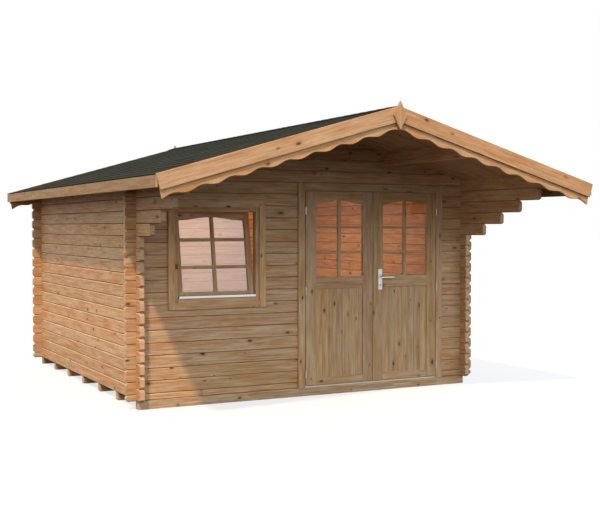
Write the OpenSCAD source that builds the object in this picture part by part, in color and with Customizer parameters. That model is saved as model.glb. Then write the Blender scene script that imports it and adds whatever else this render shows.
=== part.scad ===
// Garden log cabin with a gabled front, a deep canopy, a double door and a tilted window.
// Millimetres, +Z up. The origin is on the ground at the middle of the whole footprint,
// +X is to the right of someone who looks at the door, and +Y runs to the rear.

/* [Logs] */
// Height of one course of logs
log_h = 114; // [90:1:140]
// Thickness of a log, which is the thickness of the walls
log_t = 44; // [28:1:70]
// Bevel along the edges of a log, which draws the V of each joint
log_bevel = 7; // [2:0.5:8]
// Width of a tongue along the top of a log
tongue_w = 6; // [4:0.5:7]
// Height of a tongue along the top of a log
tongue_h = 8; // [5:0.5:10]
// How far the log ends stand out past the crossed corners
stub = 100; // [80:1:150]
// Corner cut off the ends of the logs
stub_chamfer = 22; // [10:1:26]
// Gap left between logs that bear on each other
joint_gap = 0.4; // [0.2:0.1:0.8]

/* [Walls] */
// Width over the outer faces of the side walls
wall_w = 3600; // [3200:10:4400]
// Depth over the outer faces of the front and rear walls
wall_d = 3600; // [2600:10:4800]
// Least height of log over the door frame, which sets the number of courses
over_door = 39; // [20:1:300]
// Courses that step out below the top course to carry the canopy
corbel_courses = 4; // [2:1:4]
// How far the lowest corbel stands out past the front wall
corbel_first = 383; // [250:1:450]
// How much further each corbel stands out than the one below
corbel_step = 281; // [150:1:300]

/* [Base] */
// Height of the bearers under the walls
bearer_h = 80; // [60:1:120]
// Width of a bearer
bearer_w = 70; // [50:1:100]
// Number of bearers
bearer_count = 7; // [4:1:9]
// Setback of the bearer ends from the side walls' faces
bearer_inset = 12; // [0:1:40]
// Thickness of the floor boards
floor_t = 19; // [16:1:28]

/* [Roof] */
// Slope of the roof in degrees
roof_pitch = 16; // [12:0.5:22]
// Overhang of the eaves past the side walls
eave_overhang = 350; // [220:1:420]
// Depth of the canopy from the front wall to the face of the bargeboards
canopy = 1540; // [1480:1:1800]
// Overhang of the roof past the rear wall
rear_overhang = 195; // [170:1:400]
// Thickness of the roof boards
roof_board_t = 19; // [16:1:28]
// Thickness of the shingle covering
shingle_t = 8; // [5:0.5:12]
// Width of the purlins
purlin_w = 60; // [44:1:80]
// Height of the purlins
purlin_h = 130; // [100:1:160]
// Distance from the middle of a side purlin to the ridge
purlin_x = 839; // [700:1:1000]

/* [Roof trim] */
// Thickness of the bargeboards, scalloped boards, fascias and finials
trim_t = 20; // [16:1:28]
// Height of the bargeboards, square to the slope
barge_h = 120; // [100:1:145]
// Mean drop of the scalloped edge below the bargeboard
scallop_drop = 60; // [40:1:80]
// Height of a wave of the scalloped edge above and below its mean
scallop_wave = 12; // [6:1:18]
// Length of a wave along the slope
scallop_pitch = 252; // [180:1:320]
// Height of the eave fascias
fascia_h = 95; // [80:1:120]
// Width of the diamond finials
finial_w = 130; // [100:1:160]
// Height of the diamond finials
finial_h = 245; // [200:1:280]
// How far a finial stands up over the bargeboards
finial_rise = 50; // [20:1:70]

/* [Window] */
// Distance from the middle of the window to the middle of the front wall
window_x = 1009; // [900:1:1150]
// Height of the hole for the window over the bearers, to the nearest course
sill_h = 855; // [600:1:1000]
// Height of the hole for the window, to the nearest course
window_h = 912; // [680:1:1020]
// Width of the hole for the window
window_w = 886; // [600:1:1100]
// Width of the window frame's side and bottom pieces
window_frame_w = 53; // [40:1:60]
// Height of the window frame's head
window_head = 37; // [30:1:50]
// Width of the window's casing boards
window_casing_w = 65; // [50:1:70]
// How far the window casings reach over the wall
window_casing_lap = 47; // [30:1:60]
// Width of the sash stiles and rails
sash_w = 52; // [40:1:60]
// Thickness of the sash
sash_t = 38; // [30:1:44]
// Room between the sash and its frame
sash_gap = 6; // [3:0.5:8]
// Tilt of the sash into the room in degrees
sash_tilt = 9; // [4:0.5:12]
// Rise of the arched top rail of the sash
sash_arch = 30; // [15:1:36]
// Height of the drip bar in front of the sash
drip_h = 28; // [20:1:34]
// How far the drip bar stands out past the wall
drip_out = 15; // [8:1:25]

/* [Door] */
// Distance from the middle of the door to the middle of the front wall
door_x = 670; // [560:1:760]
// Width of one door leaf
leaf_w = 755; // [600:1:850]
// Height of a door leaf
leaf_h = 1893; // [1700:1:2100]
// Thickness of a door leaf
leaf_t = 40; // [36:1:44]
// Room round the door leaves
leaf_gap = 6; // [5:0.5:8]
// Gap where the two leaves meet
meeting_gap = 10; // [10:0.5:14]
// Width of the stiles of a leaf
stile_w = 112; // [90:1:120]
// Height of the top rail at the crown of its arch
top_rail_h = 82; // [70:1:100]
// Rise of the arch under the top rail
door_arch = 37; // [20:1:50]
// Height of the middle rail
mid_rail_h = 114; // [90:1:130]
// Height of the bottom rail
bottom_rail_h = 72; // [60:1:140]
// Height of the boarded panel below the middle rail
panel_h = 869; // [700:1:940]
// Thickness of the boarded panel
panel_t = 22; // [16:1:26]
// Thickness of the glass in the door and window
glass_t = 4; // [3:0.5:6]
// Thickness of the door frame's posts
jamb_w = 40; // [34:1:50]
// Height of the door frame's head
door_head = 35; // [30:1:36]
// How far the door and window frames stand into the room past the logs
frame_past = 18; // [4:1:40]
// How far the stops stand past the posts
stop_w = 15; // [12:1:20]
// Thickness of the casing boards round the door and window
casing_t = 18; // [14:1:22]
// Width of the door's casing boards
door_casing_w = 74; // [50:1:100]
// Height of the threshold
threshold_h = 15; // [10:1:20]

/* [Door fittings] */
// Height of the lowest hinge over the bottom of the leaf
hinge_low = 112; // [80:1:250]
// Height of the middle hinge over the bottom of the leaf
hinge_mid = 923; // [700:1:1100]
// Depth of the highest hinge below the top of the leaf
hinge_top = 191; // [80:1:300]
// Radius of the hinge barrels
knuckle_r = 7; // [5:0.5:10]
// Height of each half of a hinge barrel
knuckle_h = 34; // [24:1:60]
// Height of the cap on each end of a hinge barrel
knuckle_cap = 3; // [1:0.5:5]
// How far the flaps of a hinge reach into the gap beside the leaf
hinge_flap_w = 30; // [20:1:34]
// Thickness of a hinge flap
hinge_flap_t = 2; // [1.5:0.5:3]
// Height of the lever over the bottom of the leaf
lever_z = 1043; // [950:1:1080]
// Distance from the lever's spindle to the free edge of the leaf
lever_inset = 78; // [60:1:85]
// Width of the handle plates
plate_w = 46; // [36:1:52]
// Height of the handle plates
plate_h = 208; // [170:1:240]
// Thickness of the handle plates
plate_t = 6; // [4:0.5:8]
// Radius of the handle plates' corners
plate_round = 8; // [2:1:15]
// How far the handle plates reach over the spindle
plate_rise = 80; // [60:1:100]
// Length of the lever from the spindle
lever_l = 140; // [110:1:150]
// Radius of the lever
lever_r = 9; // [7:0.5:11]
// How far the lever stands off the plate
lever_reach = 40; // [32:1:50]

/* [Hidden] */
// Reach of a cutting shape past the faces that it cuts
over = 1;
// Width of a bearing gap between parts that seat on each other
seat = 0.3;
// Straight stretches in a wave of a scalloped edge, in an arched rail and in a round piece
wave_steps = 12;
arch_steps = 24;
round_steps = 48;
tan_pitch = tan(roof_pitch);
cos_pitch = cos(roof_pitch);
sin_pitch = sin(roof_pitch);
half_w = wall_w / 2;
notch = log_h / 4;
notch_w = log_t + 2 * seat;
half_log = log_h / 2;
frame_depth = log_t + frame_past;

// Door: the leaves fill the clear width between the posts
door_clear = 2 * leaf_w + meeting_gap + 2 * leaf_gap;
door_hole = door_clear + 2 * jamb_w + 2 * seat;
door_left = door_x - door_hole / 2;
door_right = door_x + door_hole / 2;
leaf_z0 = bearer_h + threshold_h + leaf_gap;
leaf_z1 = leaf_z0 + leaf_h;
door_clear_z1 = leaf_z1 + leaf_gap;
door_top = door_clear_z1 + door_head + seat;
mid_rail_z = bottom_rail_h + panel_h;
glass_z0 = mid_rail_z + mid_rail_h;
arch_z0 = leaf_h - top_rail_h - door_arch;
leaf_y = -casing_t;
hinge_y = leaf_y - knuckle_r - over;
hinge_x = leaf_gap / 2;
hinge_heights = [hinge_low, hinge_mid, leaf_h - hinge_top];
lever_axis = [leaf_w - lever_inset, lever_z];

// Courses: the front and rear walls start with half a log, so they end half a log below the side walls
side_courses = ceil((door_top + over_door - bearer_h + half_log) / log_h);
wall_courses = side_courses - 1;
plain_courses = wall_courses - corbel_courses;
wall_top = bearer_h + side_courses * log_h;

// The log over the door is cut down to the door frame, unless that would leave a thin strip of it
door_course = floor((door_top - end_z(0)) / log_h);
over_course = end_z(door_course + 1) - door_top < over_door ? door_course + 1 : door_course;
door_cut = max(door_top, end_z(over_course));

// Middles of the tongues across a log: two on a thick log, and one on a thin log
flat_w = log_t - 2 * log_bevel;
tongue_count = flat_w < 4 * tongue_w ? 1 : 2;
tongue_x = [for (i = [0:tongue_count - 1]) log_bevel + flat_w * (i + 0.5) / tongue_count];

// Roof planes: heights of the undersides and tops at the middle of the cabin
soffit_ridge = wall_top + (half_w - log_t) * tan_pitch;
boards_ridge = soffit_ridge + roof_board_t / cos_pitch;
shingle_ridge = boards_ridge + shingle_t / cos_pitch;
eave_x = half_w + eave_overhang;
slope_len = eave_x / cos_pitch;
board_x = eave_x - trim_t - seat;
roof_front = -canopy;
roof_rear = wall_d + rear_overhang;
board_front = roof_front + trim_t;
board_rear = roof_rear - trim_t;
beam_front = board_front + trim_t;
beam_rear = board_rear - trim_t;
wall_front_y = (canopy - wall_d - rear_overhang) / 2;

// Window: its hole takes up whole courses of the front wall
window_left = -window_x - window_w / 2;
window_right = -window_x + window_w / 2;
window_z0 = bearer_h + half_log + round((sill_h - half_log) / log_h) * log_h;
window_z1 = window_z0 + round(window_h / log_h) * log_h;
window_clear_w = window_w - 2 * window_frame_w;
window_clear_z0 = window_z0 + window_frame_w;
window_clear_z1 = window_z1 - window_head;
sash_outer_w = window_clear_w - 2 * sash_gap;
sash_outer_h = window_clear_z1 - window_clear_z0 - 2 * sash_gap;
sash_y = 22;
drip_edge = 3;

// Underside of the roof boards at a distance from the ridge
function soffit(x) = soffit_ridge - abs(x) * tan_pitch;

// Bottom of a course of a side wall, and of a front or rear wall above its half log
function side_z(k) = bearer_h + k * log_h;
function end_z(j) = bearer_h + half_log + j * log_h;

// Points of a rib or channel round x, from a level edge at z0 to its far side at z1 and back
function rib(x, w, z0, z1) = [[x - w / 2, z0], [x - w / 2, z1], [x + w / 2, z1], [x + w / 2, z0]];

// Underside of a log, from its outer face to its inner one, with a groove for each tongue of the log below
function log_underside() = concat([[0, log_bevel], [log_bevel, 0]],
    [for (x = tongue_x) each rib(x, tongue_w + 2 * joint_gap, 0, tongue_h)],
    [[log_t - log_bevel, 0], [log_t, log_bevel]]);

// Section of a log: across the thickness, then up to its tongues
function log_section(h) = concat(log_underside(), [[log_t, h - log_bevel], [log_t - log_bevel, h]],
    [for (i = [tongue_count - 1:-1:0]) each rib(tongue_x[i], -tongue_w, h, h + tongue_h)],
    [[log_bevel, h], [0, h - log_bevel]]);

// Section of the top course, bevelled to the slope of the roof from its outer face inwards
function top_section(h) = concat(log_underside(), [[log_t, h], [0, h - log_t * tan_pitch]]);

// Side view of a log from a to b up to its tongues' top, with chamfered ends where asked and a notch at each
// start in notches
function log_outline(a, b, h, cut_a, cut_b, notches, low, high) = let (
    top = h + tongue_h,
    slant = stub_chamfer + tongue_h)
    concat(
        cut_a ? [[a, stub_chamfer], [a + stub_chamfer, 0]] : [[a, 0]],
        low > 0 ? [for (n = notches) each rib(n + notch_w / 2, notch_w, 0, low)] : [],
        cut_b ? [[b - stub_chamfer, 0], [b, stub_chamfer], [b, h - stub_chamfer], [b - slant, top]]
            : [[b, 0], [b, top]],
        high > 0 ? [for (i = [len(notches) - 1:-1:0])
            each rib(notches[i] + notch_w / 2, -notch_w, top, h - high)] : [],
        cut_a ? [[a + slant, top], [a, h - stub_chamfer]] : [[a, top]]);

// Every part is drawn with the front wall's face at Y 0, then moved to the middle of the footprint
module placed() translate([0, wall_front_y, 0]) children();

// A plain board from one corner to the opposite one
module board(low, high) translate(low) cube(high - low);

// A flat shape in the X-Z plane, given its thickness towards the rear from y
module upright(y, thickness) translate([0, y + thickness, 0]) rotate([90, 0, 0])
    linear_extrude(thickness) children();

// A section across Y and Z, drawn along X from a to b
module along_x(a, b) translate([a, 0, 0]) rotate([90, 0, 90]) linear_extrude(b - a) children();

// A section across X and Z, drawn along Y from a to b
module along_y(a, b) translate([0, b, 0]) rotate([90, 0, 0]) linear_extrude(b - a) children();

// A log along X whose outer face is at y, cut to a side view
module end_log(y, z, a, b, h, outline) translate([0, y, z]) intersection() {
    along_x(a - over, b + over) polygon(log_section(h));
    upright(-over, log_t + 2 * over) polygon(outline);
}

// A log along Y, on the left wall or mirrored to the right one
module side_log(z, a, b, section, outline) translate([-half_w, 0, z]) intersection() {
    along_y(a - over, b + over) polygon(section);
    along_x(-over, log_t + over) polygon(outline);
}

// Where the front and rear logs cross the side walls, and the side logs the end walls
end_notches = [-half_w - seat, half_w - log_t - seat];
side_notches = [-seat, wall_d - log_t - seat];
notch_cut = notch + joint_gap / 2;

// Front end of a course of a side wall, counted from the ground
function side_front(k) =
    k < plain_courses ? -stub
    : k < side_courses - 1 ? -corbel_first - (k - plain_courses) * corbel_step
    : beam_front + seat;

module side_wall() {
    for (k = [0:side_courses - 1]) {
        is_top = k == side_courses - 1;
        a = side_front(k);
        b = is_top ? beam_rear - seat : wall_d + stub;
        h = log_h - joint_gap;
        side_log(side_z(k), a, b, is_top ? top_section(h) : log_section(h),
            log_outline(a, b, h, !is_top, !is_top, side_notches, notch_cut, notch_cut - joint_gap));
    }
}

// One course of the front or rear wall from a to b, with the stubs that reach past the corners
module end_course(y, z, h, a, b, low, high) {
    left_stub = a < -half_w;
    right_stub = b > half_w;
    notches = concat(left_stub ? [end_notches[0]] : [], right_stub ? [end_notches[1]] : []);
    end_log(y, z, a, b, h, log_outline(a, b, h, left_stub, right_stub, notches, low, high));
}

// The half log that starts a front or rear wall
module half_course(y, a, b) end_course(y, bearer_h, half_log - joint_gap, a, b, 0, notch_cut - joint_gap);

// The whole courses of a front or rear wall from a to b, from the course first as far up as the side walls
module whole_courses(y, a, b, first) {
    for (j = [first:wall_courses - 1])
        end_course(y, end_z(j), log_h - joint_gap, a, b, notch_cut, notch_cut - joint_gap);
}

// All the plain courses of a front or rear wall from a to b
module end_wall(y, a, b) {
    half_course(y, a, b);
    whole_courses(y, a, b, 0);
}

// Outline of one gable log under the roof, from its bottom z0 to its top z1
function gable_outline(z0, z1) = let (
    top_half = max(0, (soffit_ridge - joint_gap - z1) / tan_pitch),
    low_half = (soffit_ridge - joint_gap - z0) / tan_pitch,
    end_half = half_w + stub,
    end_top = soffit(end_half) - joint_gap)
    concat(
        low_half > end_half ? [[-end_half, end_top], [-end_half, z0], [end_half, z0], [end_half, end_top]]
            : [[-low_half, z0], [low_half, z0]],
        top_half > 0 ? [[top_half, z1], [-top_half, z1]] : [[0, soffit_ridge - joint_gap]]);

// Logs of a gable, let in round the purlins and over the side walls' top logs
module gable(y) {
    first = wall_courses;
    count = ceil((soffit_ridge - end_z(first)) / log_h);
    difference() {
        for (i = [0:count - 1]) {
            z0 = end_z(first + i);
            z1 = z0 + log_h - joint_gap;
            translate([0, y, 0]) intersection() {
                translate([0, 0, z0]) along_x(-half_w - stub - over, half_w + stub + over)
                    polygon(log_section(log_h - joint_gap));
                upright(-over, log_t + 2 * over) polygon(gable_outline(z0, z1 + tongue_h));
            }
        }
        for (x = end_notches)
            board([x, y - over, end_z(first) - over],
                [x + notch_w, y + log_t + over, end_z(first) + notch_cut]);
        for (side = [-1, 0, 1])
            translate([side * purlin_x, 0, 0])
                board([-purlin_w / 2 - seat, y - over, purlin_z(side * purlin_x) - seat],
                    [purlin_w / 2 + seat, y + log_t + over, soffit_ridge + over]);
    }
}

// Bottom of a purlin whose middle is x from the ridge
function purlin_z(x) = soffit(x) - purlin_h;

module wood_light() color("#c79468") children();
module wood_trim() color("#cf9d6c") children();
module wood_shade() color("#8b7355") children();
module steel() color("#c9cccb") children();
module pane() color("#d8c4bd", 0.5) children();
module covering() color("#3d403b") children();

module floor_bearers() wood_shade() placed() {
    first = log_t / 2;
    step = (wall_d - log_t) / (bearer_count - 1);
    for (i = [0:bearer_count - 1])
        board([-half_w + bearer_inset, first + i * step - bearer_w / 2, 0],
            [half_w - bearer_inset, first + i * step + bearer_w / 2, bearer_h]);
}

// The floor is cut back round the door frame
module floor_boards() wood_shade() placed() difference() {
    board([-half_w + log_t + seat, log_t + seat, bearer_h],
        [half_w - log_t - seat, wall_d - log_t - seat, bearer_h + floor_t]);
    board([door_left, 0, bearer_h - over], [door_right, frame_depth + seat, bearer_h + floor_t + over]);
}

module left_wall_logs() wood_light() placed() side_wall();
module right_wall_logs() wood_light() placed() mirror([1, 0, 0]) side_wall();
module back_wall_logs() wood_light() placed() end_wall(wall_d - log_t, -half_w - stub, half_w + stub);
module back_gable_logs() wood_light() placed() gable(wall_d - log_t);

module front_wall_left() wood_light() placed() difference() {
    end_wall(0, -half_w - stub, door_left);
    board([window_left, -over, window_z0 - joint_gap], [window_right, log_t + over, window_z1]);
}

module front_wall_right() wood_light() placed() end_wall(0, door_right, half_w + stub);

module front_wall_over_door() wood_light() placed() difference() {
    whole_courses(0, door_left + seat, door_right - seat, over_course);
    board([door_left, -over, 0], [door_right, log_t + over, door_cut]);
}

module front_gable_logs() wood_light() placed() gable(0);

// A purlin whose top follows the roof over it
module purlin(x) along_y(beam_front + seat, beam_rear - seat) polygon(concat(
    [[x - purlin_w / 2, purlin_z(x)], [x + purlin_w / 2, purlin_z(x)],
        [x + purlin_w / 2, soffit(x + purlin_w / 2) - seat]],
    x == 0 ? [[0, soffit_ridge - seat]] : [],
    [[x - purlin_w / 2, soffit(x - purlin_w / 2) - seat]]));

module ridge_purlin() wood_light() placed() purlin(0);
module left_purlin() wood_light() placed() purlin(-purlin_x);
module right_purlin() wood_light() placed() purlin(purlin_x);

// A sheet of the right roof slope between two heights at the ridge, out to x_out
module slope_sheet(low, high, x_out, a, b) along_y(a, b) polygon([
    [seat / 2, low - seat / 2 * tan_pitch], [x_out, low - x_out * tan_pitch],
    [x_out, high - x_out * tan_pitch], [seat / 2, high - seat / 2 * tan_pitch]]);

module right_boards()
    slope_sheet(soffit_ridge, boards_ridge, board_x, board_front + seat, board_rear - seat);
module right_covering()
    slope_sheet(boards_ridge + seat, shingle_ridge, eave_x, board_front + seat, board_rear - seat);

module left_roof_boards() wood_light() placed() mirror([1, 0, 0]) right_boards();
module right_roof_boards() wood_light() placed() right_boards();
module left_shingles() covering() placed() mirror([1, 0, 0]) right_covering();
module right_shingles() covering() placed() right_covering();

// The board along the right eave, its top bevelled to the slope
module fascia() along_y(board_front + seat, board_rear - seat) polygon([
    [eave_x - trim_t, boards_ridge - eave_x * tan_pitch - fascia_h],
    [eave_x, boards_ridge - eave_x * tan_pitch - fascia_h],
    [eave_x, boards_ridge - eave_x * tan_pitch],
    [eave_x - trim_t, boards_ridge - (eave_x - trim_t) * tan_pitch]]);

module left_eave_fascia() wood_trim() placed() mirror([1, 0, 0]) fascia();
module right_eave_fascia() wood_trim() placed() fascia();

// A point of the right slope: s along it from the ridge, d square below the top of the roof boards
function slope_point(s, d) = [s * cos_pitch - d * sin_pitch, boards_ridge - s * sin_pitch - d * cos_pitch];

// Where a line d below the slope's top is x from the middle of the cabin, as at the mitre beside the ridge
function s_at(x, d) = (x + d * sin_pitch) / cos_pitch;
function mitre_s(d) = s_at(seat / 2, d);

// The plain right bargeboard, its top level with the shingles, mitred at the ridge and cut square at the eave
module bargeboard(y) {
    top = -shingle_t;
    end = s_at(eave_x, top);
    upright(y, trim_t) polygon([
        slope_point(mitre_s(top), top), slope_point(mitre_s(barge_h), barge_h),
        slope_point(end, barge_h), slope_point(end, top)]);
}

// Depth of the scalloped edge below the roof boards' top, a full wave at the ridge
function scallop_depth(s) = barge_h + scallop_drop + scallop_wave * cos(360 * s / scallop_pitch);

// The scalloped right board behind the bargeboard, its top against the roof boards and its end by the fascia
module scalloped_board(y) {
    steps = round(slope_len / scallop_pitch * wave_steps);
    first = mitre_s(scallop_depth(0));
    top = roof_board_t + seat;
    upright(y, trim_t) polygon(concat(
        [slope_point(s_at(board_x, top), top), slope_point(mitre_s(top), top)],
        [for (i = [0:steps]) let (s = first + (slope_len - first) * i / steps)
            slope_point(s, scallop_depth(s))]));
}

module front_left_bargeboard() wood_trim() placed() mirror([1, 0, 0]) bargeboard(roof_front);
module front_right_bargeboard() wood_trim() placed() bargeboard(roof_front);
module front_left_scalloped_board() wood_trim() placed() mirror([1, 0, 0]) scalloped_board(board_front);
module front_right_scalloped_board() wood_trim() placed() scalloped_board(board_front);

module rear_bargeboards() wood_trim() placed() {
    bargeboard(board_rear);
    mirror([1, 0, 0]) bargeboard(board_rear);
}

module rear_scalloped_boards() wood_trim() placed() {
    scalloped_board(beam_rear);
    mirror([1, 0, 0]) scalloped_board(beam_rear);
}

// A diamond board over the mitre of the bargeboards
module finial(y) upright(y, trim_t) translate([0, boards_ridge + finial_rise - finial_h / 2]) polygon([
    [0, finial_h / 2], [-finial_w / 2, 0], [0, -finial_h / 2], [finial_w / 2, 0]]);

module front_finial() wood_trim() placed() finial(roof_front - trim_t);
module rear_finial() wood_trim() placed() finial(roof_rear);

module window_frame() wood_shade() placed() {
    left = window_left + seat;
    right = window_right - seat;
    low = window_z0 + seat;
    high = window_z1 - joint_gap - seat;
    for (x = [left, right - window_frame_w])
        board([x, 0, low], [x + window_frame_w, frame_depth, high]);
    inner_left = left + window_frame_w + seat;
    inner_right = right - window_frame_w - seat;
    board([inner_left, 0, low], [inner_right, frame_depth, window_clear_z0]);
    board([inner_left, 0, window_clear_z1], [inner_right, frame_depth, high]);
}

module window_casing() wood_light() placed() {
    left = window_left - window_casing_lap;
    right = window_right + window_casing_lap;
    low = window_z0 - window_casing_lap;
    high = window_z1 + window_casing_lap;
    for (x = [left, right - window_casing_w])
        board([x, -casing_t, low], [x + window_casing_w, 0, high]);
    for (z = [low, high - window_casing_w])
        board([left + window_casing_w + seat, -casing_t, z],
            [right - window_casing_w - seat, 0, z + window_casing_w]);
}

// Height of an arched edge at a share u of its width: level at both ends and crowned in the middle
function arch(u, rise) = rise * (1 - cos(360 * u)) / 2;

// Points of an arched edge from x0 to x1 at height z, taken from left to right
function arch_edge(x0, x1, z, rise) =
    [for (i = [0:arch_steps]) [x0 + (x1 - x0) * i / arch_steps, z + arch(i / arch_steps, rise)]];

// The sash is drawn upright with its lower rear edge at the origin, then tilted about that edge
module tilted() translate([-window_x, sash_y + sash_t, window_clear_z0 + seat]) rotate([-sash_tilt, 0, 0])
    translate([0, -sash_t, 0]) children();

sash_half = sash_outer_w / 2;
sash_arch_z = sash_outer_h - sash_w - sash_arch;

module window_sash() wood_shade() placed() tilted() {
    for (x = [-sash_half, sash_half - sash_w])
        board([x, 0, 0], [x + sash_w, sash_t, sash_outer_h]);
    inner = sash_half - sash_w - seat;
    board([-inner, 0, 0], [inner, sash_t, sash_w]);
    upright(0, sash_t) polygon(concat([[inner, sash_outer_h], [-inner, sash_outer_h]],
        arch_edge(-inner, inner, sash_arch_z, sash_arch)));
}

module window_glass() pane() placed() tilted() {
    inner = sash_half - sash_w - 2 * seat;
    upright((sash_t - glass_t) / 2, glass_t) polygon(concat([[inner, sash_w + seat], [-inner, sash_w + seat]],
        arch_edge(-inner, inner, sash_arch_z - seat, sash_arch)));
}

// A bar on the sill in front of the sash, with an upright face between two bevels
module window_drip_bar() steel() placed() translate([-window_x, 0, window_clear_z0 + seat]) {
    half = window_clear_w / 2 - sash_gap;
    back = sash_y - sash_gap;
    along_x(-half, half) polygon([
        [drip_edge - drip_out, 0], [back, 0], [back, drip_h],
        [drip_edge - drip_out, drip_h - drip_edge / 2], [-drip_out, drip_h - 2 * drip_edge], [-drip_out, drip_edge]]);
}

module door_frame() wood_shade() placed() {
    inner = door_clear / 2;
    stop_y = leaf_y + leaf_t + leaf_gap;
    translate([door_x, 0, 0]) {
        for (side = [0, 1]) mirror([side, 0, 0]) {
            board([inner, 0, bearer_h], [inner + jamb_w, frame_depth, door_clear_z1 - seat]);
            board([inner - stop_w, stop_y, bearer_h + threshold_h + seat],
                [inner - seat, frame_depth, door_clear_z1 - seat]);
        }
        board([-inner - jamb_w, 0, door_clear_z1], [inner + jamb_w, frame_depth, door_clear_z1 + door_head]);
        board([-inner + stop_w + seat, stop_y, door_clear_z1 - stop_w],
            [inner - stop_w - seat, frame_depth, door_clear_z1 - seat]);
    }
}

// The casing boards are flush with the door frame's inner faces
module door_casing() wood_light() placed() translate([door_x, -casing_t, 0]) {
    inner = door_clear / 2;
    low = door_clear_z1;
    for (side = [0, 1]) mirror([side, 0, 0])
        board([inner, 0, bearer_h], [inner + door_casing_w, casing_t, low + door_casing_w]);
    board([-inner + seat, 0, low], [inner - seat, casing_t, low + door_casing_w]);
}

module door_threshold() steel() placed()
    board([door_x - door_clear / 2 + seat, -casing_t / 2, bearer_h],
        [door_x + door_clear / 2 - seat, frame_depth, bearer_h + threshold_h]);

// A leaf is drawn from its hinge edge at X 0, and set at the left or mirrored to the right
module leaf_left() translate([door_x - door_clear / 2 + leaf_gap, leaf_y, leaf_z0]) children();
module leaf_right() translate([door_x + door_clear / 2 - leaf_gap, leaf_y, leaf_z0]) mirror([1, 0, 0])
    children();

module leaf_frame() {
    for (x = [0, leaf_w - stile_w])
        board([x, 0, 0], [x + stile_w, leaf_t, leaf_h]);
    a = stile_w + seat;
    b = leaf_w - stile_w - seat;
    board([a, 0, 0], [b, leaf_t, bottom_rail_h]);
    board([a, 0, mid_rail_z], [b, leaf_t, glass_z0]);
    upright(0, leaf_t) polygon(concat([[b, leaf_h], [a, leaf_h]], arch_edge(a, b, arch_z0, door_arch)));
}

module leaf_panel() board([stile_w + seat, (leaf_t - panel_t) / 2, bottom_rail_h + seat],
    [leaf_w - stile_w - seat, (leaf_t + panel_t) / 2, mid_rail_z - seat]);

module leaf_glass() {
    a = stile_w + 2 * seat;
    b = leaf_w - stile_w - 2 * seat;
    upright((leaf_t - glass_t) / 2, glass_t) polygon(concat([[b, glass_z0 + seat], [a, glass_z0 + seat]],
        arch_edge(a, b, arch_z0 - seat, door_arch)));
}

// Half a hinge: a barrel on the axis with a cap at cap_z, and a flap from it into the gap beside the leaf
module hinge_half(z, cap_z, flap_x) {
    axis_y = hinge_y - leaf_y;
    translate([-hinge_x, axis_y, 0]) {
        translate([0, 0, z]) cylinder(r = knuckle_r, h = knuckle_h, $fn = round_steps);
        translate([0, 0, cap_z]) cylinder(r = knuckle_r - knuckle_cap / 2, h = knuckle_cap, $fn = round_steps);
    }
    board([flap_x, axis_y, z], [flap_x + hinge_flap_t, hinge_flap_w, z + knuckle_h]);
}

// The upper halves swing on the edge of the leaf, and the lower ones stay on the casing and the post
module leaf_hinges() for (z = hinge_heights) hinge_half(z + seat, z + seat + knuckle_h, -hinge_flap_t);
module post_hinges() for (z = hinge_heights)
    hinge_half(z - knuckle_h, z - knuckle_h - knuckle_cap, -leaf_gap);

module left_leaf_frame() wood_shade() placed() leaf_left() leaf_frame();
module left_leaf_panel() wood_shade() placed() leaf_left() leaf_panel();
module left_leaf_glass() pane() placed() leaf_left() leaf_glass();
module left_leaf_hinges() steel() placed() leaf_left() leaf_hinges();
module right_leaf_frame() wood_shade() placed() leaf_right() leaf_frame();
module right_leaf_panel() wood_shade() placed() leaf_right() leaf_panel();
module right_leaf_glass() pane() placed() leaf_right() leaf_glass();
module right_leaf_hinges() steel() placed() leaf_right() leaf_hinges();

module door_hinge_posts() steel() placed() {
    leaf_left() post_hinges();
    leaf_right() post_hinges();
}

// Outline of a handle plate with round corners, round the spindle
module plate_outline() translate([-plate_w / 2, plate_rise - plate_h]) {
    translate([plate_round, 0]) square([plate_w - 2 * plate_round, plate_h]);
    translate([0, plate_round]) square([plate_w, plate_h - 2 * plate_round]);
    for (x = [plate_round, plate_w - plate_round], z = [plate_round, plate_h - plate_round])
        translate([x, z]) circle(r = plate_round, $fn = round_steps);
}

// Long plates on both faces of the right leaf
module handle_plates() steel() placed() leaf_right() translate([lever_axis[0], 0, lever_axis[1]])
    for (y = [-plate_t, leaf_t])
        upright(y, plate_t) plate_outline();

// One lever on a neck, with a round corner and a round end, that points towards the hinges
module lever() {
    rotate([90, 0, 0]) cylinder(r = lever_r, h = lever_reach, $fn = round_steps);
    translate([0, -lever_reach, 0]) sphere(r = lever_r + over, $fn = round_steps);
    translate([-lever_l, -lever_reach, 0]) rotate([0, 90, 0])
        cylinder(r = lever_r, h = lever_l, $fn = round_steps);
}

module lever_handles() steel() placed() leaf_right() translate([lever_axis[0], 0, lever_axis[1]]) {
    translate([0, -plate_t - seat, 0]) lever();
    translate([0, leaf_t + plate_t + seat, 0]) mirror([0, 1, 0]) lever();
}

floor_bearers();
floor_boards();
left_wall_logs();
right_wall_logs();
back_wall_logs();
back_gable_logs();
front_wall_left();
front_wall_right();
front_wall_over_door();
front_gable_logs();
ridge_purlin();
left_purlin();
right_purlin();
left_roof_boards();
right_roof_boards();
left_shingles();
right_shingles();
left_eave_fascia();
right_eave_fascia();
front_left_bargeboard();
front_right_bargeboard();
front_left_scalloped_board();
front_right_scalloped_board();
rear_bargeboards();
rear_scalloped_boards();
front_finial();
rear_finial();
window_frame();
window_casing();
window_sash();
window_glass();
window_drip_bar();
door_frame();
door_casing();
door_threshold();
door_hinge_posts();
left_leaf_frame();
left_leaf_panel();
left_leaf_glass();
left_leaf_hinges();
right_leaf_frame();
right_leaf_panel();
right_leaf_glass();
right_leaf_hinges();
handle_plates();
lever_handles();
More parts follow.
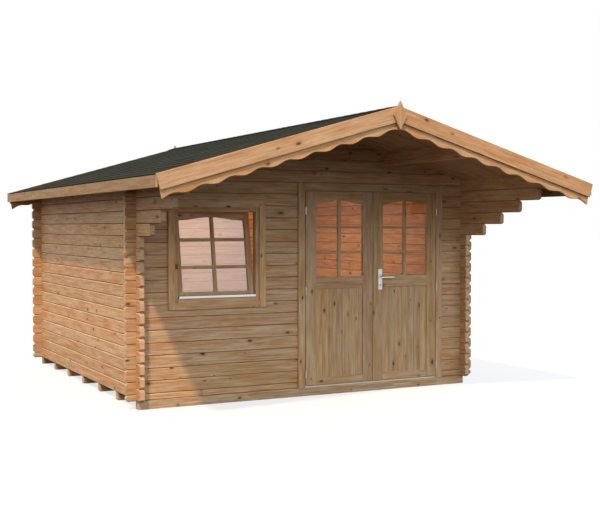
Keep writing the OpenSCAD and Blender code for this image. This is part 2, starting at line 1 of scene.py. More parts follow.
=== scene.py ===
"""A garden log cabin, dressed over its CAD frame.

The logs, trim and joinery are copies of the CAD solids in which every board has its own grain. The floor,
the roof deck and the door panels are sawn from their CAD sheets into single boards. The shingles, glazing
bars, beads, screws, keyholes, the lips of the door leaves and the stop of the window are modelled here.
"""

import logging
import math
import random
from dataclasses import dataclass, replace
from enum import Enum
from typing import Iterator, Sequence

import bmesh
import bpy
from bmesh.types import BMEdge, BMesh, BMFace, BMVert
from bpy.types import Light, Material, NodeSocket, NodeTree
from mathutils import Matrix, Vector


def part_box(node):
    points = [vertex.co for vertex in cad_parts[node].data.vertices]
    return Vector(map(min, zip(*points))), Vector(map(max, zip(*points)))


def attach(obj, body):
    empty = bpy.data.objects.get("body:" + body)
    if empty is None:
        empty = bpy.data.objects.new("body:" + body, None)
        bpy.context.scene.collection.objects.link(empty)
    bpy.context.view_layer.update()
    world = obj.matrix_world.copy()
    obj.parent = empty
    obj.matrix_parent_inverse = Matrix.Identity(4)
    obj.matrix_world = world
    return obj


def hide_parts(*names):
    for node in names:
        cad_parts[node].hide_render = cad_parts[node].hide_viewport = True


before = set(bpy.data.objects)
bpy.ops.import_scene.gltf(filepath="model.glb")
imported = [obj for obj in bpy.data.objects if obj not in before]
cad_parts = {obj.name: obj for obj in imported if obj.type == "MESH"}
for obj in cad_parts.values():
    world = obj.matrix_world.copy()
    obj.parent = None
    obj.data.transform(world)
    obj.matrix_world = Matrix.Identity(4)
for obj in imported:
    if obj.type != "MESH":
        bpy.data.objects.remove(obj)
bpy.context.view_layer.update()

LOG = logging.getLogger("cabin")
MM = 0.001
CABIN = "cabin"
WHITE = "#FFFFFF"
UP = Vector((0.0, 0.0, 1.0))
ROOF_PITCH = math.radians(16)
# Middle of the room, from its floor
ROOM_MIDDLE = sum(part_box("floor_boards"), Vector()) / 2

# How near points are that are merged, that lie on a cutting plane, and that lie level or in line
MERGED = 0.02 * MM
ON_PLANE = 0.001 * MM
LEVEL = 0.01 * MM
IN_LINE = 0.1 * MM
# Turn between faces that are one plane, and at an edge that is sharp enough to be eased
ONE_PLANE = math.radians(1)
SHARP = math.radians(30)
# A bevel along a log: how far its unit normal goes up or down, and the most that it goes along the log
BEVEL_SLANT = (0.3, 0.95)
BEVEL_ALONG = 0.1
# A board's place in its tree: metres of trunk to choose from, where the pith may lie as shares of the
# board's width and thickness, and how far the board leans from the pith for each metre of its length
TRUNK_LENGTH = 60.0
PITH_ACROSS = (0.1, 0.9)
PITH_THROUGH = (-0.8, 1.8)
LEAN = 0.008

# Attributes that every board carries: its place in the tree, its own tone, how far a face shows end grain,
# and the painted light on a bevel along a joint: painted shade above 0, and painted highlight below 0
GRAIN = "grain"
TONE = "tone"
END = "end"
PAINTED_JOINT_SHADE = "painted_joint_shade"


class Axis(Enum):
    """Direction across which a sheet is sawn into boards."""

    X = (1.0, 0.0, 0.0)
    Y = (0.0, 1.0, 0.0)


class Side(Enum):
    """Side of the cabin or of the doorway, seen from the front."""

    LEFT = "left"
    RIGHT = "right"


class Slot(Enum):
    """Material slots of the record."""

    LOGS = "log_wood"
    TRIM = "trim_wood"
    JOINERY = "joinery_wood"
    BOARDS = "board_wood"
    BEARERS = "bearer_wood"
    SHINGLES = "shingles"
    GLASS = "glass"
    STEEL = "steel"
    ALUMINIUM = "aluminium"


def linear(colour: str) -> tuple[float, ...]:
    """Turns an sRGB hex colour into linear RGBA.

    Args:
        colour: Colour as "#RRGGBB".

    Returns:
        Red, green, blue and alpha.
    """
    shares = [int(colour[i:i + 2], 16) / 255 for i in (1, 3, 5)]
    return (*(s / 12.92 if s <= 0.04045 else ((s + 0.055) / 1.055) ** 2.4 for s in shares), 1.0)


def add_node(tree: NodeTree, kind: str, inputs: dict | None = None, out: int | str = 0,
             **settings: object) -> NodeSocket:
    """Adds one node with its settings and links.

    Args:
        tree: Node tree that gets the node.
        kind: Node type, without the ShaderNode that each one starts with.
        inputs: Input names or numbers, each with a value or with the socket that feeds it.
        out: Name or number of the output that is wanted.
        settings: Properties of the node itself.

    Returns:
        The wanted output socket, or the first input where the node has no output.
    """
    node = tree.nodes.new(f"ShaderNode{kind}")
    for name, value in settings.items():
        setattr(node, name, value)
    for name, value in (inputs or {}).items():
        if isinstance(value, NodeSocket):
            tree.links.new(value, node.inputs[name])
        else:
            node.inputs[name].default_value = value
    return node.outputs[out] if node.outputs else node.inputs[0]


# Numbers of the colour sockets of a Mix node
MIX_A = 6
MIX_B = 7
MIX_OUT = 2


@dataclass(frozen=True)
class Finish:
    """A finish that makes one material the first time it is asked for."""

    name: str

    def material(self) -> Material:
        """Returns the material, made at its first use."""
        made = bpy.data.materials.get(self.name)
        if made is None:
            made = bpy.data.materials.new(self.name)
            made.use_nodes = True
            made.node_tree.nodes.clear()
            shader = self.surface(made.node_tree)
            add_node(made.node_tree, "OutputMaterial", {"Surface": shader})
        return made

    def surface(self, tree: NodeTree) -> NodeSocket:
        """Adds the finish's nodes to a tree and returns the shader's output."""
        raise NotImplementedError


@dataclass(frozen=True)
class Timber(Finish):
    """Knotty planed softwood: rings round a pith, so that faces show streaks and ends show arcs.

    The eye gets streaks along each board, a few small brown knots that the grain bends round, warm stretches
    of heartwood, and boards that differ in tone from pale and greyish to brown and reddish.
    """

    light: str = "#D9B490"
    late: str = "#A97D55"
    # The heartwood's tint is multiplied over the streaks
    heart: str = "#F5E1CE"
    knot: str = "#57331A"
    knot_edge: str = "#9C6840"
    end_grain: str = "#DAB592"
    # Painted shade under the bevels of joints that look down, and painted highlight on those that look up at
    # the sun
    painted_joint_shade: str = "#57290E"
    painted_highlight: str = "#F8E2C6"
    # Growth rings of 3 to 5 mm would be too fine to show, so they are drawn about twice as wide
    ring_mm: float = 9.0
    heart_mm: float = 50.0
    streak_mm: float = 16.0
    fibre_mm: float = 7.0
    heart_per_metre: float = 3.0
    streaks_per_metre: float = 3.4
    fibres_per_metre: float = 13.0
    # How far the pith wanders, and how often in a metre along and across the board
    drift_mm: float = 30.0
    drift_per_metre: tuple[float, float, float] = (1.1, 5.0, 5.0)
    # Where early wood turns to late wood, as shares of a ring, and where the noise turns sapwood to heartwood
    late_band: tuple[float, float] = (0.35, 0.95)
    heart_band: tuple[float, float] = (0.42, 0.68)
    # How much of the way from light to late wood each pattern goes, round its own mean
    ring_weight: float = 0.35
    fibre_weight: float = 0.8
    streak_weight: float = 1.4
    mean_shade: float = 0.44
    ring_mean: float = 0.4
    noise_mean: float = 0.5
    # The higher the power, the more knots are small. A cell without a knot has one that is too small to show
    knot_least_mm: float = 4.0
    knot_most_mm: float = 13.0
    knot_none_mm: float = 0.01
    knot_power: float = 2.0
    knot_stretch: float = 2.0
    knot_ragged: float = 0.9
    knots_along_mm: float = 330.0
    knots_across_mm: float = 100.0
    knot_share: float = 0.28
    # Where a knot's core and the stain round it fade, in its radii, and how far the grain gives way to it
    core_fade: tuple[float, float] = (0.75, 1.15)
    stain_fade: tuple[float, float] = (0.8, 2.8)
    grain_bend: float = 0.8
    # How far the stain, sound and dead knots, and a sawn end cover the wood
    stain_cover: float = 0.45
    knot_cover: tuple[float, float] = (0.35, 0.95)
    end_cover: float = 0.45
    # Ranges of each board's value, hue and strength of colour, and what shuffles its tone for the last two
    value_range: tuple[float, float] = (0.92, 1.09)
    hue_range: tuple[float, float] = (0.498, 0.508)
    strength_range: tuple[float, float] = (0.95, 1.06)
    shuffles: tuple[float, float] = (7.31, 31.7)
    # Roughness changes with the fibres, between the smoothest and the roughest of them
    roughness: float = 0.62
    smoother: float = 0.06
    rougher: float = 0.08
    fibre_band: tuple[float, float] = (0.3, 0.7)
    gloss: float = 0.12
    ring_depth_mm: float = 0.5
    ring_relief: float = 0.5
    relief: float = 0.35

    def surface(self, tree: NodeTree) -> NodeSocket:
        """Adds the rings, knots and streaks of the wood and returns the shader's output.

        Args:
            tree: Node tree of the material.

        Returns:
            Output of the shader.
        """
        grain = add_node(tree, "Attribute", out="Vector", attribute_name=GRAIN)
        reach, away, dead = self.knots(tree, grain)
        core, halo = (
            add_node(tree, "MapRange", {
                "Value": reach, "From Min": near, "From Max": far, "To Min": 1.0, "To Max": 0.0},
                interpolation_type="SMOOTHSTEP")
            for near, far in (self.core_fade, self.stain_fade))

        # The grain runs round each knot
        push = add_node(tree, "VectorMath", {0: away, "Scale": halo}, operation="SCALE")
        bent = add_node(tree, "VectorMath", {0: push, 1: (0.0, -self.grain_bend, 0.0), 2: grain},
                        operation="MULTIPLY_ADD")
        late = self.rings(tree, bent)
        fibre, streak, heart = (
            self.streaks(tree, bent, width * MM, per_metre)
            for width, per_metre in ((self.fibre_mm, self.fibres_per_metre),
                                     (self.streak_mm, self.streaks_per_metre),
                                     (self.heart_mm, self.heart_per_metre)))

        shade = (self.mean_shade - self.ring_mean * self.ring_weight
                 - self.noise_mean * (self.fibre_weight + self.streak_weight))
        for pattern, weight in ((late, self.ring_weight), (fibre, self.fibre_weight),
                                (streak, self.streak_weight)):
            shade = add_node(tree, "Math", {0: pattern, 1: weight, 2: shade}, operation="MULTIPLY_ADD")
        colour = add_node(tree, "Mix", {0: shade, MIX_A: linear(self.light), MIX_B: linear(self.late)},
                          MIX_OUT, data_type="RGBA")
        warm = add_node(tree, "MapRange", {
            "Value": heart, "From Min": self.heart_band[0], "From Max": self.heart_band[1]})
        colour = add_node(tree, "Mix", {0: warm, MIX_A: colour, MIX_B: linear(self.heart)}, MIX_OUT,
                          data_type="RGBA", blend_type="MULTIPLY")
        colour = self.toned(tree, colour)

        # Stains, knots, sawn ends, and the painted shade and painted highlight of joints lie over the wood,
        # each over the one before
        end = add_node(tree, "Attribute", out="Fac", attribute_name=END)
        joint = add_node(tree, "Attribute", out="Fac", attribute_name=PAINTED_JOINT_SHADE)
        for place, factor, cover in ((halo, self.stain_cover, self.knot_edge), (core, dead, self.knot),
                                     (end, self.end_cover, self.end_grain), (joint, 1.0, self.painted_joint_shade),
                                     (joint, -1.0, self.painted_highlight)):
            share = add_node(tree, "Math", {0: place, 1: factor}, operation="MULTIPLY")
            colour = add_node(tree, "Mix", {0: share, MIX_A: colour, MIX_B: linear(cover)}, MIX_OUT,
                              data_type="RGBA")

        rough = add_node(tree, "MapRange", {
            "Value": fibre, "From Min": self.fibre_band[0], "From Max": self.fibre_band[1],
            "To Min": self.roughness - self.smoother, "To Max": self.roughness + self.rougher})
        height = add_node(tree, "Math", {0: late, 1: self.ring_relief, 2: fibre}, operation="MULTIPLY_ADD")
        bump = add_node(tree, "Bump", {
            "Strength": self.relief, "Distance": self.ring_depth_mm * MM, "Height": height})
        return add_node(tree, "BsdfPrincipled", {
            "Base Color": colour, "Roughness": rough, "Specular IOR Level": self.gloss, "Normal": bump})

    def knots(self, tree: NodeTree, grain: NodeSocket) -> tuple[NodeSocket, NodeSocket, NodeSocket]:
        """Sets one knot, or none, in each cell of a jittered grid over the face.

        Args:
            tree: Node tree of the material.
            grain: Place in the tree, in metres along and across the grain.

        Returns:
            Distance to the nearest knot in its radii, the way from it in metres, and how dark it is.
        """
        cell = (self.knots_along_mm * MM, self.knots_across_mm * MM, 0.0)
        place = add_node(tree, "VectorMath", {0: grain, 1: (1 / cell[0], 1 / cell[1], 0.0)},
                         operation="MULTIPLY")
        spots = add_node(tree, "TexVoronoi", {"Vector": place, "Scale": 1.0}, voronoi_dimensions="2D").node
        away = add_node(tree, "VectorMath", {0: place, 1: spots.outputs["Position"]}, operation="SUBTRACT")
        away = add_node(tree, "VectorMath", {0: away, 1: cell}, operation="MULTIPLY")
        oval = add_node(tree, "VectorMath", {0: away, 1: (1 / self.knot_stretch, 1.0, 1.0)},
                        operation="MULTIPLY")
        distance = add_node(tree, "VectorMath", {0: oval}, "Value", operation="LENGTH")
        rim = add_node(tree, "TexNoise", {"Vector": grain, "Scale": 1 / (self.knot_most_mm * MM)})
        rim = add_node(tree, "Math", {0: rim, 1: self.knot_ragged, 2: 1 - self.knot_ragged / 2},
                       operation="MULTIPLY_ADD")
        distance = add_node(tree, "Math", {0: distance, 1: rim}, operation="MULTIPLY")
        chance = add_node(tree, "SeparateColor", {"Color": spots.outputs["Color"]}).node.outputs
        rare = add_node(tree, "Math", {0: chance["Red"], 1: self.knot_power}, operation="POWER")
        radius = add_node(tree, "MapRange", {
            "Value": rare, "To Min": self.knot_least_mm * MM, "To Max": self.knot_most_mm * MM})
        there = add_node(tree, "Math", {0: chance["Green"], 1: self.knot_share}, operation="LESS_THAN")
        radius = add_node(tree, "Math", {0: radius, 1: there, 2: self.knot_none_mm * MM},
                          operation="MULTIPLY_ADD")
        reach = add_node(tree, "Math", {0: distance, 1: radius}, operation="DIVIDE")
        # Sound knots are reddish, and dead ones nearly black
        dead = add_node(tree, "MapRange", {
            "Value": chance["Blue"], "To Min": self.knot_cover[0], "To Max": self.knot_cover[1]})
        return reach, away, dead

    def rings(self, tree: NodeTree, bent: NodeSocket) -> NodeSocket:
        """Draws the growth rings round a pith that wanders along the board.

        Args:
            tree: Node tree of the material.
            bent: Place in the tree, bent round the knots.

        Returns:
            0 in the early wood and 1 in the late wood of each ring.
        """
        slow = add_node(tree, "VectorMath", {0: bent, 1: self.drift_per_metre}, operation="MULTIPLY")
        drift = add_node(tree, "TexNoise", {"Vector": slow, "Scale": 1.0, "Detail": 2.0}, "Color")
        reach = (0.0, self.drift_mm * MM, self.drift_mm * MM)
        pith = add_node(tree, "VectorMath", {0: drift, 1: reach, 2: bent}, operation="MULTIPLY_ADD")
        pith = add_node(tree, "VectorMath", {0: pith, 1: (0.0, 1.0, 1.0)}, operation="MULTIPLY")
        radius = add_node(tree, "VectorMath", {0: pith}, "Value", operation="LENGTH")
        count = add_node(tree, "Math", {0: radius, 1: self.ring_mm * MM}, operation="DIVIDE")
        share = add_node(tree, "Math", {0: count}, operation="FRACT")
        return add_node(tree, "MapRange", {
            "Value": share, "From Min": self.late_band[0], "From Max": self.late_band[1]},
            interpolation_type="SMOOTHSTEP")

    def streaks(self, tree: NodeTree, bent: NodeSocket, width: float, per_metre: float) -> NodeSocket:
        """Draws long streaks of noise along the grain.

        Args:
            tree: Node tree of the material.
            bent: Place in the tree, bent round the knots.
            width: Width of a streak in metres.
            per_metre: Streaks in a metre of length.

        Returns:
            Noise from 0 to 1.
        """
        drawn = add_node(tree, "VectorMath", {0: bent, 1: (per_metre, 1 / width, 1 / width)},
                         operation="MULTIPLY")
        return add_node(tree, "TexNoise", {"Vector": drawn, "Scale": 1.0, "Detail": 3.0})

    def toned(self, tree: NodeTree, colour: NodeSocket) -> NodeSocket:
        """Gives each board its own value, hue and strength of colour.

        Args:
            tree: Node tree of the material.
            colour: Colour of the wood.

        Returns:
            Colour with the board's own tone.
        """
        tones = [add_node(tree, "Attribute", out="Fac", attribute_name=TONE)]
        for shuffle in self.shuffles:
            spread = add_node(tree, "Math", {0: tones[0], 1: shuffle}, operation="MULTIPLY")
            tones.append(add_node(tree, "Math", {0: spread}, operation="FRACT"))
        ranges = (self.value_range, self.hue_range, self.strength_range)
        value, hue, strength = (
            add_node(tree, "MapRange", {"Value": tone, "To Min": least, "To Max": most})
            for tone, (least, most) in zip(tones, ranges))
        return add_node(tree, "HueSaturation", {
            "Hue": hue, "Saturation": strength, "Value": value, "Color": colour})


@dataclass(frozen=True)
class BitumenShingle(Finish):
    """Bitumen faced with mineral granules: dark, matt and grainy, with tabs that differ a bit in shade."""

    dark: str = "#1B1D17"
    pale: str = "#31342B"
    # Granules of 1 to 2 mm would be too fine to show, so they are drawn a few times as large
    granule_mm: float = 6.0
    patch_mm: float = 260.0
    # How much of the way from dark to pale the granules, the patches and the tab's own tone go
    granule_weight: float = 0.35
    patch_weight: float = 0.5
    tab_weight: float = 0.4
    granule_depth_mm: float = 0.8
    relief: float = 0.5
    smoothest: float = 0.8
    roughest: float = 0.95
    gloss: float = 0.03

    def surface(self, tree: NodeTree) -> NodeSocket:
        """Adds the granules and the patches of shade and returns the shader's output.

        Args:
            tree: Node tree of the material.

        Returns:
            Output of the shader.
        """
        place = add_node(tree, "TexCoord", out="Object")
        grit = add_node(tree, "TexVoronoi", {
            "Vector": place, "Scale": 1 / (self.granule_mm * MM)}).node.outputs
        speck = add_node(tree, "SeparateColor", {"Color": grit["Color"]})
        patch = add_node(tree, "TexNoise", {
            "Vector": place, "Scale": 1 / (self.patch_mm * MM), "Detail": 3.0})
        tone = add_node(tree, "Attribute", out="Fac", attribute_name=TONE)
        shade = 0.0
        for pattern, weight in ((speck, self.granule_weight), (patch, self.patch_weight),
                                (tone, self.tab_weight)):
            shade = add_node(tree, "Math", {0: pattern, 1: weight, 2: shade}, operation="MULTIPLY_ADD")
        colour = add_node(tree, "Mix", {0: shade, MIX_A: linear(self.dark), MIX_B: linear(self.pale)},
                          MIX_OUT, data_type="RGBA")
        bump = add_node(tree, "Bump", {
            "Strength": self.relief, "Distance": self.granule_depth_mm * MM, "Height": grit["Distance"]})
        rough = add_node(tree, "MapRange", {
            "Value": speck, "To Min": self.smoothest, "To Max": self.roughest})
        return add_node(tree, "BsdfPrincipled", {
            "Base Color": colour, "Roughness": rough, "Specular IOR Level": self.gloss, "Normal": bump})


@dataclass(frozen=True)
class FloatGlass(Finish):
    """Clear float glass: nearly flat, so that its reflections waver only a little, with faint wipe marks."""

    index: float
    tint: str = "#F6F9F7"
    ripple_mm: float = 240.0
    ripple_depth_mm: float = 1.0
    relief: float = 0.04
    # The wipe marks rise with the ripple, up to the roughest
    mark_band: tuple[float, float] = (0.4, 0.7)
    roughest: float = 0.03

    def surface(self, tree: NodeTree) -> NodeSocket:
        """Adds the slow ripple and faint wipe marks of the pane and returns the shader's output.

        Args:
            tree: Node tree of the material.

        Returns:
            Output of the shader.
        """
        place = add_node(tree, "TexCoord", out="Object")
        ripple = add_node(tree, "TexNoise", {
            "Vector": place, "Scale": 1 / (self.ripple_mm * MM), "Detail": 1.0})
        bump = add_node(tree, "Bump", {
            "Strength": self.relief, "Distance": self.ripple_depth_mm * MM, "Height": ripple})
        rough = add_node(tree, "MapRange", {
            "Value": ripple, "From Min": self.mark_band[0], "From Max": self.mark_band[1], "To Min": 0.0,
            "To Max": self.roughest})
        return add_node(tree, "BsdfPrincipled", {
            "Base Color": linear(self.tint), "Roughness": rough, "IOR": self.index,
            "Transmission Weight": 1.0, "Normal": bump})


@dataclass(frozen=True)
class BrushedMetal(Finish):
    """Satin metal with fine brush marks along one way, so that its highlights spread across them."""

    colour: str = "#C9CBCC"
    worn: str = "#B4B6B7"
    roughness: float = 0.3
    smoother: float = 0.06
    rougher: float = 0.1
    # Brush marks along X, Y or Z: long that way and fine the other ways
    mark_mm: tuple[float, float, float] = (1.5, 1.5, 60.0)
    mark_depth_mm: float = 0.1
    relief: float = 0.15

    def surface(self, tree: NodeTree) -> NodeSocket:
        """Adds the brush marks and returns the shader's output.

        Args:
            tree: Node tree of the material.

        Returns:
            Output of the shader.
        """
        place = add_node(tree, "TexCoord", out="Object")
        per_metre = tuple(1 / (size * MM) for size in self.mark_mm)
        drawn = add_node(tree, "VectorMath", {0: place, 1: per_metre}, operation="MULTIPLY")
        marks = add_node(tree, "TexNoise", {"Vector": drawn, "Scale": 1.0, "Detail": 2.0})
        colour = add_node(tree, "Mix", {0: marks, MIX_A: linear(self.colour), MIX_B: linear(self.worn)},
                          MIX_OUT, data_type="RGBA")
        rough = add_node(tree, "MapRange", {
            "Value": marks, "To Min": self.roughness - self.smoother,
            "To Max": self.roughness + self.rougher})
        bump = add_node(tree, "Bump", {
            "Strength": self.relief, "Distance": self.mark_depth_mm * MM, "Height": marks})
        return add_node(tree, "BsdfPrincipled", {
            "Base Color": colour, "Metallic": 1.0, "Roughness": rough, "Normal": bump})


@dataclass(frozen=True)
class PaintedHoleShade(Finish):
    """Near-black painted shade that stands for a keyhole's opening, where the lock's insides lie in shadow.
    """

    colour: str = "#1B1A19"
    grit_mm: float = 2.0

    def surface(self, tree: NodeTree) -> NodeSocket:
        """Adds a faint grit and returns the shader's output.

        Args:
            tree: Node tree of the material.

        Returns:
            Output of the shader.
        """
        place = add_node(tree, "TexCoord", out="Object")
        grit = add_node(tree, "TexNoise", {"Vector": place, "Scale": 1 / (self.grit_mm * MM)})
        return add_node(tree, "BsdfPrincipled", {"Base Color": linear(self.colour), "Roughness": grit})


def seen_directly(tree: NodeTree) -> NodeSocket:
    """Tells the rays that show the background, plainly, in metal or through glass, from those that light.

    Args:
        tree: Node tree that gets the nodes.

    Returns:
        1 for camera, glossy and transmission rays, and 0 for others.
    """
    path = add_node(tree, "LightPath").node.outputs
    either = add_node(tree, "Math", {0: path["Is Camera Ray"], 1: path["Is Glossy Ray"]},
                      operation="MAXIMUM")
    return add_node(tree, "Math", {0: either, 1: path["Is Transmission Ray"]}, operation="MAXIMUM")


@dataclass(frozen=True)
class StudioPaper(Finish):
    """White paper under the cabin that shows as white with a pale shadow, and throws little light up."""

    paper: str = "#F4F4F4"
    bounce: str = "#262625"
    shadow_share: float = 0.3

    def surface(self, tree: NodeTree) -> NodeSocket:
        """Mixes the white that is seen with the grey that reflects and returns the shader's output.

        Args:
            tree: Node tree of the material.

        Returns:
            Output of the shader.
        """
        white = add_node(tree, "Emission", {"Color": linear(WHITE), "Strength": 1.0})
        lit = add_node(tree, "BsdfDiffuse", {"Color": linear(self.paper)})
        shown = add_node(tree, "MixShader", {0: self.shadow_share, 1: white, 2: lit})
        grey = add_node(tree, "BsdfDiffuse", {"Color": linear(self.bounce)})
        return add_node(tree, "MixShader", {0: seen_directly(tree), 1: grey, 2: shown})


SPRUCE_LOGS = Timber("planed_spruce_logs")
SPRUCE_TRIM = Timber("planed_spruce_trim", light="#CDA57E", late="#A3744B", knot_share=0.34)
# The eave boards are darker than the rest of the trim
SPRUCE_FASCIA = replace(SPRUCE_TRIM, name="planed_spruce_fascia", light="#AB8F70", late="#846546")
SPRUCE_BOARDS = Timber("spruce_matchboard", light="#CDA985", late="#9F744D", knots_across_mm=90.0,
                       knots_along_mm=380.0)
PINE_JOINERY = Timber("pine_joinery", light="#D6B38E", late="#A67C55", knot_share=0.32, streak_mm=24.0,
                      ring_weight=0.18, fibre_weight=0.5)
# The casing of the window is the paler pick of the pine
PINE_CASING = replace(PINE_JOINERY, name="pine_casing", light="#E5BF95", late="#BA8B5E")
SAWN_BEARERS = Timber("sawn_pine_bearers", light="#CBAC86", late="#997553", roughness=0.8, ring_depth_mm=1.2)
SHINGLE = BitumenShingle("mineral_faced_bitumen")
# White surroundings mirror more than a garden would, so the index of the door's single sheets is set low
DOOR_GLASS = FloatGlass("float_glass", index=1.29)
# A double pane sends back about twice what one sheet does, so its index is set above that of one sheet
WINDOW_GLASS = FloatGlass("double_glazing", index=2.4)
STEEL = BrushedMetal("satin_stainless_steel")
POLISHED_STEEL = BrushedMetal("polished_stainless_steel", colour="#E4E4E2", worn="#D6D6D4", roughness=0.22)
ZINC = BrushedMetal("zinc_plated_steel", colour="#C6C3BC", worn="#ABA8A2", roughness=0.45)
PASSIVATED = BrushedMetal("yellow_passivated_steel", colour="#B08B56", worn="#927042", roughness=0.5)
ALUMINIUM = BrushedMetal("anodised_aluminium", colour="#DCDEDF", worn="#CDD0D2", roughness=0.36,
                         mark_mm=(80.0, 1.5, 1.5))
# The threshold is dulled by feet
WALKED_ALUMINIUM = replace(ALUMINIUM, name="walked_aluminium", colour="#C4C0B2", worn="#AAA699",
                           roughness=0.5)
# Painted shade of the keyhole's opening
KEYHOLE_PAINTED_SHADE = PaintedHoleShade("painted_keyhole_shade")


def cad_copy(node: str) -> BMesh:
    """Copies a CAD node's mesh, merged and with its flat faces whole.

    Args:
        node: Name of the CAD node.

    Returns:
        New bmesh.
    """
    bm = bmesh.new()
    bm.from_mesh(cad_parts[node].data)
    bmesh.ops.remove_doubles(bm, verts=bm.verts, dist=MERGED)
    bmesh.ops.dissolve_limit(bm, angle_limit=ONE_PLANE, verts=bm.verts, edges=bm.edges)
    return bm


def add_box(bm: BMesh, low: Sequence[float], high: Sequence[float],
            turn: Matrix | None = None) -> list[BMVert]:
    """Adds a box between two corners.

    Args:
        bm: Bmesh that gets the box.
        low: Lowest corner.
        high: Highest corner.
        turn: Turn about the middle of the box, if any.

    Returns:
        The box's vertices.
    """
    low, high = Vector(low), Vector(high)
    place = Matrix.Translation((low + high) / 2) @ (turn or Matrix()) @ Matrix.Diagonal((*(high - low), 1.0))
    return bmesh.ops.create_cube(bm, size=1.0, matrix=place)["verts"]


def ease(bm: BMesh, width: float, segments: int = 2, edges: Sequence[BMEdge] | None = None) -> None:
    """Takes the sharpness off edges.

    Args:
        bm: Bmesh to ease.
        width: Width of the bevel in metres.
        segments: Steps across the bevel.
        edges: Edges to ease, or else all sharp ones.
    """
    if edges is None:
        edges = [e for e in bm.edges if e.calc_face_angle(0.0) > SHARP]
    bmesh.ops.bevel(bm, geom=list(edges), offset=width, offset_type="OFFSET", affect="EDGES",
                    segments=segments, profile=0.5, material=-1, clamp_overlap=True)


def join(into: BMesh, part: BMesh) -> None:
    """Adds one bmesh to another and frees it.

    Args:
        into: Bmesh that gets the part.
        part: Bmesh that is added.
    """
    passing = bpy.data.meshes.new("passing")
    part.to_mesh(passing)
    part.free()
    into.from_mesh(passing)
    bpy.data.meshes.remove(passing)


def islands(bm: BMesh) -> Iterator[list[BMVert]]:
    """Yields the vertices of each separate board.

    Args:
        bm: Bmesh of one or more boards.

    Yields:
        Vertices that are joined by edges.
    """
    left = dict.fromkeys(bm.verts)
    while left:
        board = [next(iter(left))]
        del left[board[0]]
        for vert in board:
            for edge in vert.link_edges:
                other = edge.other_vert(vert)
                if other in left:
                    del left[other]
                    board.append(other)
        yield board


def board_axes(board: Sequence[BMVert], along: Vector | None) -> tuple[Vector, Vector, Vector]:
    """Finds the grain of a board: its longest edge, then its longest edge across that.

    Args:
        board: Vertices of the board.
        along: Way of the grain where the edges don't give it.

    Returns:
        Unit vectors along the board, across its face and through its thickness.
    """
    ways = {edge: edge.verts[1].co - edge.verts[0].co for vert in board for edge in vert.link_edges}
    length = (along or max(ways.values(), key=lambda way: way.length)).normalized()
    across = max((way - length * way.dot(length) for way in ways.values()), key=lambda way: way.length)
    across.normalize()
    return length, across, length.cross(across)


@dataclass(frozen=True)
class JointShade:
    """Painted shade under a wall's joints, outside and in the room, and painted highlight on their lower
    edges.

    Each goes from 0 to 1.
    """

    outside: float = 0.0
    inside: float = 0.0
    painted_highlight: float = 0.0

    def of_face(self, face: BMFace, length: Vector) -> float:
        """Finds the painted shade, or the painted highlight, of one face of a log.

        Args:
            face: Face of the log.
            length: Way that the log runs.

        Returns:
            The painted shade for a bevel along the log that looks down, the painted highlight, as less than
            0, for one that looks up and out, and 0 for any other face.
        """
        least, most = BEVEL_SLANT
        if not least < abs(face.normal.z) < most or abs(face.normal.dot(length)) > BEVEL_ALONG:
            return 0.0
        inwards = ROOM_MIDDLE - face.calc_center_median()
        inwards.z = 0.0
        looks_in = face.normal.dot(inwards) > 0
        if face.normal.z > 0:
            return 0.0 if looks_in else -self.painted_highlight
        return self.inside if looks_in else self.outside


def paint_grain(bm: BMesh, seed: str, along: Vector | None = None,
                joints: JointShade = JointShade()) -> None:
    """Gives each board its own place in a tree, in metres from the pith, and its own tone.

    Args:
        bm: Bmesh of one or more boards.
        seed: Name that settles the random choices.
        along: Way of the grain where the edges don't give it.
        joints: How much painted shade and painted highlight the bevels along joints get.
    """
    rng = random.Random(seed)
    grain = bm.verts.layers.float_vector.new(GRAIN)
    tone = bm.verts.layers.float.new(TONE)
    end = bm.faces.layers.float.new(END)
    painted_joint_shade = bm.faces.layers.float.new(PAINTED_JOINT_SHADE)
    bm.normal_update()
    for board in islands(bm):
        axes = board_axes(board, along)
        lows = [min(vert.co.dot(axis) for vert in board) for axis in axes]
        highs = [max(vert.co.dot(axis) for vert in board) for axis in axes]
        width, depth = highs[1] - lows[1], highs[2] - lows[2]
        start = rng.uniform(0.0, TRUNK_LENGTH)
        pith = Vector((0.0, width * rng.uniform(*PITH_ACROSS), depth * rng.uniform(*PITH_THROUGH)))
        lean = Vector((0.0, rng.uniform(-LEAN, LEAN), rng.uniform(-LEAN, LEAN)))
        own_tone = rng.random()
        for vert in board:
            place = Vector([vert.co.dot(axis) - low for axis, low in zip(axes, lows)])
            vert[grain] = place - pith + lean * place.x + Vector((start, 0.0, 0.0))
            vert[tone] = own_tone
            for face in vert.link_faces:
                # End grain starts to show where a face's normal is 60 degrees from the way of the board
                face[end] = max(0.0, 2.0 * abs(face.normal.dot(axes[0])) - 1.0)
                face[painted_joint_shade] = joints.of_face(face, axes[0])


def piece(name: str, bm: BMesh, finish: Finish, body: str, slot: Slot, nodes: Sequence[str] = ()) -> None:
    """Makes a finished piece from a bmesh and sets it on its body.

    Args:
        name: Name of the piece.
        bm: Its mesh, in place, which is freed.
        finish: Its finish.
        body: Body that it rides on.
        slot: Material slot of the piece; not used.
        nodes: CAD nodes that it stands for.
    """
    mesh = bpy.data.meshes.new(name)
    bm.to_mesh(mesh)
    bm.free()
    mesh.materials.append(finish.material())
    obj = bpy.data.objects.new(name, mesh)
    bpy.context.scene.collection.objects.link(obj)
    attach(obj, body)
    if nodes:
        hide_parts(*nodes)
    LOG.info("%s: %d faces on %s", name, len(mesh.polygons), body)


